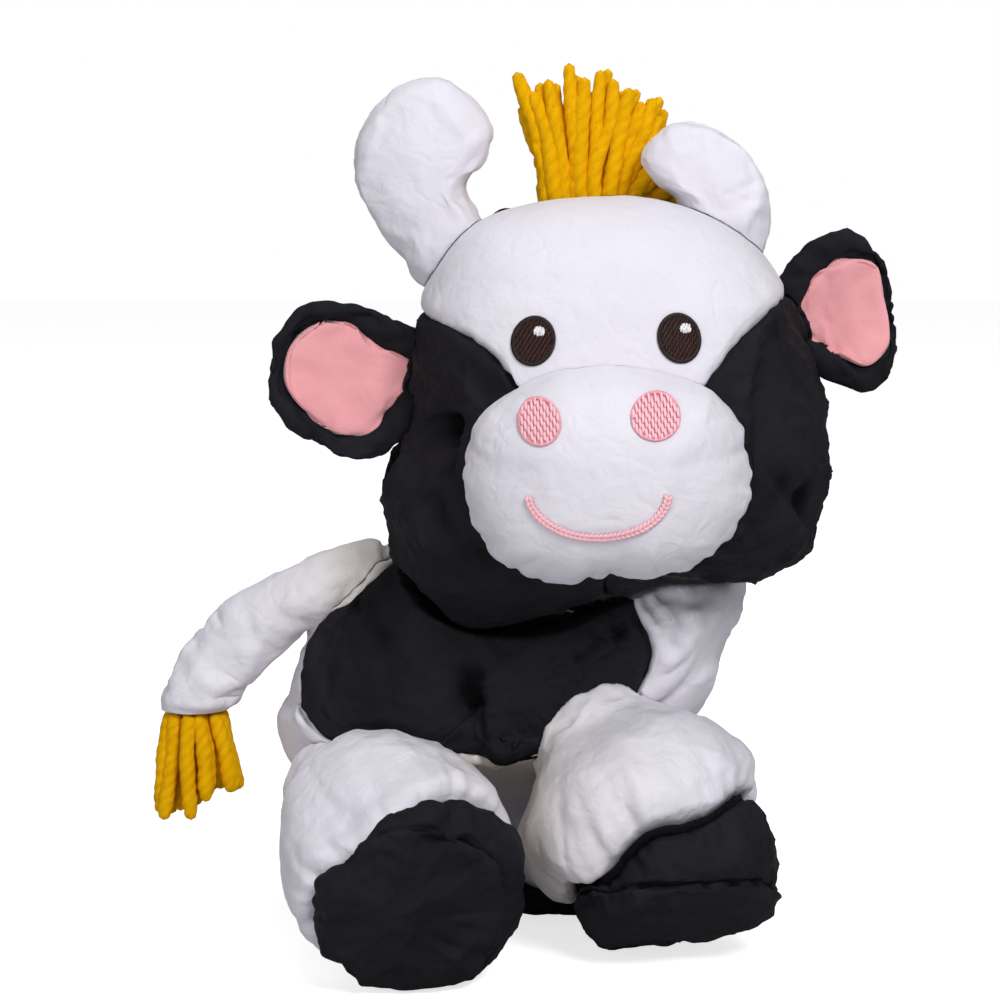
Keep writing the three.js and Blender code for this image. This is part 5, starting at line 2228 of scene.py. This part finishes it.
@dataclass
class Leg:
    """A leg: a full white sleeve sewn to the torso, gathered on to a black hoof with a sole.

    Attributes:
        root: the middle of the sleeve's round start, inside the trunk.
        hoof: the middle of the hoof's widest ring.
        sleeve: the sleeve's radius.
        bend_ends: how far along the axis the cloth would start and end to pass on to the leg; the
            places made from them are not used.
        press: how thick the hoof is, as a share of a whole one.
        sole_middle: the middle of the sole's seam, in shares of the hoof's disc.
        sole_size: the half sizes of the sole's seam, in those shares.
        sole_lean: how far the sole's oval leans.
        rows: rows of the sleeve, the hoof's upper and the sole.
    """

    name: str
    root: Place
    hoof: Place
    sleeve: float
    hoof_radius: float
    bend_ends: Spot
    seed: int
    press: float = 1.0
    fabric: Fabric = Fabric(2.2, 1.8, 0.7, ((0.8, 36.0), (0.3, 15.0)))
    hoof_fabric: Fabric = Fabric(1.1, 1.8, 1.3, ())
    folds: tuple[Crease, ...] = ()
    nudges: tuple[Nudge, ...] = ()
    root_radius: float = 27.0
    hoof_back: float = 15.0
    sole_middle: Spot = (0.0, 0.0)
    sole_size: Spot = (0.62, 0.62)
    sole_lean: float = 0.0
    rows: tuple[int, int, int] = (60, 24, 28)
    columns: int = 132

    def axis(self) -> np.ndarray:
        """The direction from the root to the hoof."""
        return unit(np.array(self.hoof, float) - np.array(self.root))

    def profile(self) -> tuple[np.ndarray, np.ndarray]:
        """The half sections of the sleeve and the hoof, as radius and place along the axis.

        Returns:
            The sleeve's points and the hoof's.
        """
        length = float(np.linalg.norm(np.array(self.hoof, float) - np.array(self.root)))
        seam = length - self.hoof_back * self.press
        turn = np.linspace(0.0, QUARTER, 14)[:-1, None]
        ball = self.root_radius * np.hstack([np.sin(turn), -np.cos(turn)])
        wide, hoof = self.sleeve, self.hoof_radius
        sleeve = np.array([
            (self.root_radius, 0.0), (0.92 * wide, 0.36 * seam), (wide, 0.66 * seam),
            (0.98 * wide, seam - 8.0), (0.96 * hoof, seam),
        ])
        shoe = np.array([
            (0.96 * hoof, seam), (hoof, length - 0.5 * self.hoof_back * self.press),
            (hoof, length + 2.0 * self.press), (0.92 * hoof, length + 10.0 * self.press),
            (0.62 * hoof, length + 16.5 * self.press), (0.0, length + 18.0 * self.press),
        ])
        return np.vstack([ball, smooth_line(sleeve, False)]), smooth_line(shoe, False)

    def surface(self) -> np.ndarray:
        """The leg as a grid: its half section turned about its axis.

        The hoof is the image of a disc whose middle is the axis and whose rim is the seam. The
        grid's rays run there from the rim to the sole's middle, and cross the sole's oval seam.

        Returns:
            The grid's points.
        """
        axis = self.axis()
        first = unit(np.array([1.0, 0.0, 0.0]) - axis * axis[0])
        second = np.cross(axis, first)
        turn = circle(self.columns)
        rim = np.stack([np.cos(turn), np.sin(turn)], -1)
        sleeve, shoe = self.profile()
        sleeve = evenly(sleeve, self.rows[0] + 1, False)
        ray = rim - np.array(self.sole_middle)
        edge = 1.0 / in_oval(*ray.T, self.sole_size, self.sole_lean)
        share = stretched([1.0, np.minimum(edge, 0.93), 0.0], list(self.rows[1:]))[1:]
        disc = np.array(self.sole_middle) + share[..., None] * ray
        reach = np.linalg.norm(disc, axis=-1)
        steps = steps_of(shoe[::-1])
        far = np.concatenate([[0.0], np.cumsum(steps)]) / steps.sum()
        radius, along = (np.interp(reach, far, shoe[::-1, k]) for k in (0, 1))
        disc = disc / np.maximum(reach, 1e-9)[..., None] * radius[..., None]
        top = sleeve[:, None, :1] * rim
        across = np.concatenate([top, disc])
        whole = np.concatenate([np.broadcast_to(sleeve[:, 1:], top.shape[:2]), along])
        flat = across[..., :1] * first + across[..., 1:] * second
        return np.array(self.root) + whole[..., None] * axis + flat

    def build(self, torso: Wall) -> Skin:
        """Works out the leg, gathered at its seams, pressed on the floor.

        Args:
            torso: the outside of the trunk.

        Returns:
            The leg's skin.
        """
        axis = self.axis()
        skin = Skin(self.surface())
        seam, edge = self.rows[0], self.rows[0] + self.rows[1]
        skin.inflate(skin.held(seam, edge, root=TORSO), self.fabric)
        skin.points = nudged(skin.points, self.nudges)
        black = np.arange(len(skin.points))[:, None] > seam
        relief = uneven(skin.points, self.seed, self.fabric.lumps) - self.fabric.below
        rough = np.where(black, self.hoof_fabric.wrinkle, self.fabric.wrinkle)
        relief += rough * wrinkles(skin.points, self.seed)
        relief += skin.gather_row(seam, self.fabric.gather, self.seed + 2)
        relief += skin.gather_row(edge, self.hoof_fabric.gather, self.seed + 5)
        relief += groove(skin.from_row(seam), 1.6, 1.8) + groove(skin.from_row(edge), 1.0, 1.4)
        off = skin.points - np.array(self.root)
        near = eased(4.0, -10.0, (off - (off @ axis)[..., None] * axis)[..., 1])
        skin.push(relief + folded(self.folds, skin.points) * near)
        skin.points = clear_of(on_floor(skin.points), torso.room, axis * 150.0)
        # Painted shade in the hollows of the hoof, and on the sleeve a beige tint, partly
        # yellowing and partly painted shade.
        skin.tint_and_shade = np.where(black, skin.hollow_shade(), 0.7 * beige_tint_and_shade_near(skin.points))
        return skin

    def dress(self, skin: Skin) -> None:
        """Makes the sleeve, the hoof's upper and its sole.

        Args:
            skin: the leg's skin.
        """
        seam, edge = self.rows[0], self.rows[0] + self.rows[1]
        places = [tuple(np.array(self.root) + self.axis() * far) for far in self.bend_ends]
        bend = Bend("torso", *places)
        body = f"{self.name}_leg"
        piece = skin.panel(f"{self.name}_sleeve_cloth", (0, seam), cut=Cut.TUBE)
        dress(piece, WHITE, body, (f"{body}_sleeve", f"{body}_filling"), bend)
        piece = skin.panel(f"{self.name}_hoof_band", (seam, edge), cut=Cut.TUBE)
        dress(piece, BLACK, body, (f"{self.name}_hoof_upper",))
        piece = skin.panel(f"{self.name}_sole_cloth", (edge, len(skin.points) - 1), cut=Cut.BACK)
        dress(piece, BLACK, body, (f"{self.name}_hoof_sole",))


LEGS = (
    Leg(
        "hind_near", (-57, -28, 53), (-28, -108, 36.3), 43.5, 38.5, (14.0, 58.0), 131,
        rows=(84, 34, 38), columns=196,
        sole_middle=(-0.2, -0.05), sole_size=(0.66, 0.6),
        folds=(
            Crease((-76, 40), (-62, 52), 3.0, 0.9, 8.0),
            Crease((-80, 24), (-60, 30), 2.4, 1.2, 10.0),
            Crease((-66, 70), (-44, 60), 2.0, 1.2, 10.0),
        ),
        nudges=(
            Nudge((-56, -94, 62), (12, -6, -14), 24),
            Nudge((-45, -98, 69), (4, -3, -8), 18),
            Nudge((-20, -100, 73), (0, -1, -4), 22),
            Nudge((-84, -56, 48), (3, 0, 0), 26),
            Nudge((-83, -64, 45), (5, 0, 0), 5),
        ),
    ),
    Leg(
        "fore_near", (38, -35, 77), (68, -66, 30.7), 45, 40, (6.0, 44.0), 141,
        rows=(84, 34, 38), columns=196,
        sole_middle=(-0.25, -0.15), sole_size=(0.85, 0.72), sole_lean=-0.5,
        folds=(
            Crease((24, 78), (24, 56), 2.0, 1.2, 14.0),
            Crease((57, 56), (47, 82), 2.6, 0.9, 9.0),
            Crease((92, 60), (76, 66), 2.0, 1.0, 10.0),
            Crease((8, 43), (35, 31), 2.4, 0.8, 8.0),
        ),
        nudges=(
            Nudge((98, -70, 20), (6, -2, -8), 22),
            Nudge((88, -80, 5), (0, -9, -4), 20),
            Nudge((36, -85, 48), (2, 0, -10), 14),
            Nudge((12, -60, 46), (0, -6, 0), 20),
            Nudge((104, -62, 44), (-3, 1, -4), 18),
            Nudge((74, -86, 58), (3, -4, -9), 22),
            Nudge((6, -45, 42), (-5, 0, -2), 22),
        ),
    ),
    Leg("hind_far", (-46, 33, 60), (-46, 33, 7.5), 34, 37, (6.0, 42.0), 151, 0.5),
    Leg(
        "fore_far", (42, 27, 61), (42, 27, 7.5), 34, 37, (6.0, 42.0), 161, 0.5,
        nudges=(Nudge((18, -4, 6), (-5, -12, -3), 20), Nudge((6, 16, 36), (-13, 0, 0), 26)),
    ),
)


# Embroidery


@dataclass(frozen=True)
class Stitch:
    """The form of one stitch, laid between its two ends on the cloth.

    Five half-round sections: the ends dip into the cloth and the middle stands proud of it.
    """

    half: float = 0.34
    proud: float = 0.34
    stations: tuple[float, ...] = (0.0, 0.14, 0.5, 0.86, 1.0)
    widths: tuple[float, ...] = (0.3, 0.85, 1.0, 0.85, 0.3)
    heights: tuple[float, ...] = (-0.5, 0.75, 1.0, 0.75, -0.5)
    across: tuple[float, ...] = (1.0, 0.62, 0.0, -0.62, -1.0, 0.0)
    up: tuple[float, ...] = (0.0, 0.78, 1.0, 0.78, 0.0, -0.6)

    def lay(self, wall: Wall, ends: np.ndarray, lift: float) -> tuple[np.ndarray, list[list[int]]]:
        """Lays stitches on a wall.

        Args:
            wall: the cloth.
            ends: the two ends of each stitch in X and Z, stitches by 2 by 2.
            lift: how high the stitches lie over the cloth, in millimetres.

        Returns:
            The points and the faces.
        """
        share = np.array(self.stations)[None, :, None]
        line = ends[:, :1] * (1.0 - share) + ends[:, 1:] * share
        middle, normal = wall.facing(line[..., 0], line[..., 1])
        along = middle[:, -1:] - middle[:, :1]
        side = unit(np.cross(np.broadcast_to(along, normal.shape), normal), 1e-6)
        wide = self.half * np.outer(self.widths, self.across)[None, :, :, None]
        bulge = np.array(self.heights)[:, None] + 0.35 * np.array(self.up)[None, :]
        high = (lift + self.proud * bulge)[None, :, :, None]
        points = middle[:, :, None] + side[:, :, None] * wide + normal[:, :, None] * high
        sections, corners = bulge.shape
        at = np.arange(sections * corners).reshape(sections, corners)
        round_ = np.roll(at, -1, axis=1)
        quads = np.stack([at[:-1], round_[:-1], round_[1:], at[1:]], -1).reshape(-1, 4).tolist()
        faces = [*quads, at[0, ::-1].tolist(), at[-1].tolist()]
        size = sections * corners
        whole = [[v + k * size for v in face] for k in range(len(ends)) for face in faces]
        return points.reshape(-1, 3), whole


@dataclass
class Patch:
    """An oval filled with stitches, with a satin edge of stitches across its border.

    Attributes:
        lean: how far the oval leans, anticlockwise.
        lift: how high the stitches lie over the cloth.
        pitch: the distance between two columns of stitches.
        length: the length of a stitch.
        edge: the length of the satin edge's stitches, or 0 for no such edge.
        slant: how far a stitch leans, as a share of its length.
        half: half the width of a stitch.
        edge_half: half the width of a satin stitch.
        brick: the share of a stitch by which each column starts on from the one before.
    """

    name: str
    centre: Spot
    size: Spot
    finish: Thread
    node: str
    lean: float = 0.0
    lift: float = 0.35
    pitch: float = 0.62
    length: float = 2.6
    edge: float = 0.0
    slant: float = 0.0
    half: float = 0.34
    edge_half: float = 0.3
    brick: float = 0.382
    seed: int = 1

    def fill(self) -> np.ndarray:
        """The middle's stitches: columns of upright ones, each column a part of a stitch on.

        Returns:
            The two ends of each stitch, in X and Z from the patch's middle.
        """
        rng = np.random.default_rng(self.seed)
        reach = max(self.size)
        x = np.arange(-reach, reach, self.pitch)
        z = np.arange(-reach, reach, self.length)
        xs, zs = (a.reshape(-1) for a in np.meshgrid(x, z))
        column = np.round((xs + reach) / self.pitch).astype(int)
        zs = zs + self.length * np.mod(column * self.brick, 1.0)
        xs = xs + rng.uniform(-0.06, 0.06, len(xs))
        start = np.stack([xs, zs], -1)
        end = start + np.array([self.slant, 1.02]) * self.length
        border = 0.99 - 0.5 * self.edge / reach
        inside = in_oval(*((start + end) / 2).T, self.size, self.lean) < border
        ends = np.stack([start, end], axis=1)[inside]
        for _ in range(6):
            over = in_oval(ends[..., 0], ends[..., 1], self.size, self.lean)[..., None]
            ends = np.where(over > 1.0, ends / np.maximum(over, 1.0), ends)
        return ends

    def border(self) -> np.ndarray:
        """The stitches of the satin edge, each across the border.

        Returns:
            The two ends of each stitch, in X and Z from the patch's middle.
        """
        rng = np.random.default_rng(self.seed + 1)
        wide, high = self.size
        count = int(math.pi * (wide + high) / 0.5)
        turn = circle(count)
        rim = np.stack(leaned(wide * np.cos(turn), high * np.sin(turn), self.lean), -1)
        inner = rim * (1.0 - self.edge / np.linalg.norm(rim, axis=1))[:, None]
        inner += rng.uniform(-0.15, 0.15, inner.shape)
        return np.stack([inner, rim * 1.015], axis=1)

    def dress(self, wall: Wall) -> None:
        """Makes the patch.

        Args:
            wall: the cloth that it is sewn on.
        """
        centre = np.array(self.centre)
        layers = [(*Stitch(self.half, self.half).lay(wall, self.fill() + centre, self.lift), 0.0)]
        if self.edge:
            satin = Stitch(self.edge_half, self.edge_half)
            layers.append((*satin.lay(wall, self.border() + centre, self.lift + 0.25), 0.9))
        # The ground is painted darker, as the shade between the stitches.
        layers.append((*self.ground(wall), 0.8))
        starts = np.cumsum([0] + [len(points) for points, _, _ in layers]).tolist()
        faces = [
            [v + start for v in face]
            for (_, some, _), start in zip(layers, starts) for face in some
        ]
        dark = np.concatenate([np.full(len(points), shade) for points, _, shade in layers])
        points = np.vstack([points for points, _, _ in layers])
        sew(self.name, points, faces, dark, self.finish, self.node)

    def ground(self, wall: Wall) -> tuple[np.ndarray, list[list[int]]]:
        """A thin low mound of thread under the stitches, which hides the cloth between them and is
        painted darker as the shade there.

        Args:
            wall: the cloth under it.

        Returns:
            The points and the faces.
        """
        rings, columns = 9, 48
        turn = circle(columns)
        share = np.linspace(0.0, 0.97, rings)
        x, z = leaned(self.size[0] * np.cos(turn), self.size[1] * np.sin(turn), self.lean)
        place, normal = wall.facing(
            self.centre[0] + share[:, None] * x, self.centre[1] + share[:, None] * z
        )
        height = (self.lift - 0.05) * np.sqrt(1.0 - 0.9 * share**4)
        grid = np.vstack([place + normal * height[:, None, None], (place - normal * 0.15)[::-1]])
        sign = Skin(grid).sign
        ids, faces = grid_faces(2 * rings, columns, True, True, True, sign)
        return grid.reshape(-1, 3)[np.unique(ids, return_index=True)[1]], faces


def sew(
    name: str, points: np.ndarray, faces: list, dark: np.ndarray, finish: Thread, node: str
) -> None:
    """Makes a piece of embroidery of points of the drawing, darker where `dark` says.

    Args:
        name: the piece's name.
        points: its points.
        faces: the point indices of each face.
        dark: how dark each point is, 0 to 1: a darker thread along a satin edge, and painted shade
            on the ground between the stitches.
        finish: the thread.
        node: the node that it replaces, a piece of the head.
    """
    corners = np.concatenate([np.asarray(face) for face in faces])
    mesh = mesh_of(name, in_frame(points), faces, points[corners][:, [0, 2]], dark)
    dress(placed(name, mesh), finish, "head", (node,))


@dataclass
class Mouth:
    """A smile of chain stitch: pairs of slanting stitches along an arc."""

    centre: Spot = (34.5, 181.0)
    size: Spot = (24.4, 15.5)
    width: float = 1.3
    pitch: float = 1.7

    def dress(self, wall: Wall) -> None:
        """Makes the smile.

        Args:
            wall: the cloth that it is sewn on.
        """
        turn = np.linspace(math.pi * 1.02, math.pi * 1.98, 200)
        arc = np.stack([
            self.centre[0] + self.size[0] * np.cos(turn),
            self.centre[1] + self.size[1] * np.sin(turn),
        ], -1)
        middle = evenly(arc, int(steps_of(arc).sum() / self.pitch) + 2, False)
        along = unit(np.gradient(middle, axis=0))
        side = np.stack([-along[:, 1], along[:, 0]], -1)
        ends = np.concatenate([
            np.stack([middle[:-1], middle[1:] + along[1:] * 0.9 + k * self.width * side[1:]], 1)
            for k in (-1.0, 1.0)
        ])
        points, faces = Stitch(0.8, 0.8).lay(wall, ends, 0.35)
        sew("mouth_chain", points, faces, np.zeros(len(points)), PINK_THREAD, "mouth_stitch")


def eye(side: str, centre: Spot, lean: float, seed: int) -> Patch:
    """An eye.

    Args:
        side: left or right.
        centre: its middle, in X and Z.
        lean: how far it leans.
        seed: seed of its stitches.

    Returns:
        The patch.
    """
    return Patch(
        f"eye_{side}_thread", centre, (7.8, 9.0), BROWN_THREAD, f"eye_{side}", lean=lean,
        edge=1.6, seed=seed,
    )


def eye_light(side: str, centre: Spot, seed: int) -> Patch:
    """The light in an eye.

    Args:
        side: left or right.
        centre: its middle, in X and Z.
        seed: seed of its stitches.

    Returns:
        The patch.
    """
    return Patch(
        f"eye_light_{side}_thread", centre, (2.2, 1.9), WHITE_THREAD, f"eye_light_{side}",
        lift=0.95, length=2.2, pitch=0.5, seed=seed,
    )


def nostril(
    side: str, centre: Spot, size: Spot, seed: int
) -> Patch:
    """A nostril.

    Args:
        side: left or right.
        centre: its middle, in X and Z.
        size: its half width and half height.
        seed: seed of its stitches.

    Returns:
        The patch.
    """
    return Patch(
        f"nostril_{side}_thread", centre, size, PINK_THREAD, f"nostril_{side}", slant=-0.12,
        length=3.3, pitch=1.12, half=0.6, brick=0.5, edge=1.0, seed=seed,
    )


HEAD_THREADS = (
    eye("left", (12, 232), -0.35, 1), eye("right", (64, 233), 0.35, 3),
    eye_light("left", (14.2, 235.4), 5), eye_light("right", (66.2, 236.4), 6),
)
MUZZLE_THREADS = (
    nostril("left", (14, 205.5), (7.6, 8.0), 7), nostril("right", (54.6, 207.6), (8.8, 8.1), 9),
)


# Studio


@dataclass(frozen=True)
class Lamp:
    """A soft square lamp, in metres, aimed at a place."""

    name: str
    place: Place
    aim: Place
    size: float
    power: float

    def light(self) -> None:
        """Hangs the lamp."""
        data = bpy.data.lights.new(self.name, "AREA")
        data.shape = "SQUARE"
        data.size = self.size
        data.energy = self.power
        lamp = placed(self.name, data)
        lamp.location = self.place
        way = Vector(self.aim) - Vector(self.place)
        lamp.rotation_euler = way.to_track_quat("-Z", "Y").to_euler()


@dataclass
class Studio:
    """A white floor and ground, soft lamps, and the camera."""

    target: Place = (-0.008, 0.029, 0.163)
    distance: float = 1.3
    elevation: float = 8.0
    lens: float = 121.6
    floor: float = 6.0
    lamps: tuple[Lamp, ...] = (
        Lamp("Key", (0.6, -1.3, 1.25), (0, 0, 0.15), 0.6, 19.0),
        Lamp("Fill", (-0.9, -1.5, 0.4), (0, 0, 0.1), 1.0, 8.0),
        Lamp("Top", (0.1, 0.2, 1.6), (0, 0, 0.1), 1.2, 7.0),
    )

    def build(self) -> None:
        """Sets the studio up."""
        scene = bpy.context.scene
        scene.view_settings.view_transform = "Standard"
        for lamp in self.lamps:
            lamp.light()
        self.world(scene)
        self.ground()
        data = bpy.data.cameras.new("Camera")
        data.lens, data.sensor_width = self.lens, 36.0
        camera = placed("Camera", data)
        tilt = math.radians(self.elevation)
        x, y, z = self.target
        camera.location = (
            x, y - self.distance * math.cos(tilt), z + self.distance * math.sin(tilt)
        )
        camera.rotation_euler = (QUARTER - tilt, 0.0, 0.0)
        scene.camera = camera

    def world(self, scene: bpy.types.Scene) -> None:
        """The world: white where it is seen, and a soft light on the toy.

        Args:
            scene: the scene that it belongs to.
        """
        ink = Shader(bpy.data.worlds.new("Studio"))
        path = ink.add("ShaderNodeLightPath", {}).outputs["Is Camera Ray"]
        soft = ink.add("ShaderNodeBackground", {0: (0.96, 0.97, 1.0, 1.0), 1: 0.24}).outputs[0]
        seen = ink.add("ShaderNodeBackground", {0: (1.0, 1.0, 1.0, 1.0), 1: 1.0}).outputs[0]
        mixed = ink.add("ShaderNodeMixShader", {0: path, 1: soft, 2: seen}).outputs[0]
        ink.add("ShaderNodeOutputWorld", {0: mixed})
        scene.world = ink.owner

    def ground(self) -> None:
        """The floor: white to the camera but for the toy's shadow, and duller to the toy."""
        half = self.floor / 2
        corners = [(-half, -half, 0.0), (half, -half, 0.0), (half, half, 0.0), (-half, half, 0.0)]
        mesh = bpy.data.meshes.new("Floor")
        mesh.from_pydata(corners, [], [(0, 1, 2, 3)])
        floor = placed("Floor", mesh)
        ink = Shader(bpy.data.materials.new("Floor"))
        path = ink.add("ShaderNodeLightPath", {}).outputs["Is Camera Ray"]
        matt = ink.add("ShaderNodeBsdfDiffuse", {0: (0.93, 0.93, 0.94, 1.0)}).outputs[0]
        dull = ink.add("ShaderNodeBsdfDiffuse", {0: (0.55, 0.55, 0.56, 1.0)}).outputs[0]
        glow = ink.add("ShaderNodeEmission", {0: (1.0, 1.0, 1.0, 1.0), 1: 0.72}).outputs[0]
        both = ink.add("ShaderNodeAddShader", {0: matt, 1: glow}).outputs[0]
        mixed = ink.add("ShaderNodeMixShader", {0: path, 1: dull, 2: both}).outputs[0]
        ink.add("ShaderNodeOutputMaterial", {0: mixed})
        mesh.materials.append(ink.owner)


def main() -> None:
    """Builds and dresses the cow, piece by piece, and sets up the studio."""
    logging.basicConfig(level=logging.INFO, format="%(message)s")
    Studio().build()
    torso = Torso()
    skin = torso.build()
    torso.dress(skin)
    torso_wall = Wall(skin, TORSO, 0.4)
    LOG.info("torso")
    for leg in LEGS:
        leg.dress(leg.build(torso_wall))
        LOG.info(leg.name)
    tail = Tail()
    tail.dress(tail.build(torso_wall))
    LOG.info("tail")
    head = Head()
    face = head.build()
    head.dress(face)
    head_wall = Wall(face, HEAD, 0.3)
    LOG.info("head")
    muzzle = Muzzle()
    skin = muzzle.build(head_wall)
    muzzle.dress(skin)
    muzzle_wall = Wall(skin, MUZZLE, 0.0, 1)
    LOG.info("muzzle")
    for horn in HORNS:
        horn.dress(horn.build(head_wall))
        LOG.info(horn.name)
    for ear in EARS:
        ear.dress(ear.build(head_wall))
        LOG.info(ear.name)
    Forelock().dress(head_wall)
    LOG.info("forelock")
    face_wall = Wall(face, HEAD, 0.0, 1)
    for patch in HEAD_THREADS:
        patch.dress(face_wall)
    for patch in MUZZLE_THREADS:
        patch.dress(muzzle_wall)
    Mouth().dress(muzzle_wall)
    LOG.info("embroidery")


if __name__ == "__main__":
    main()
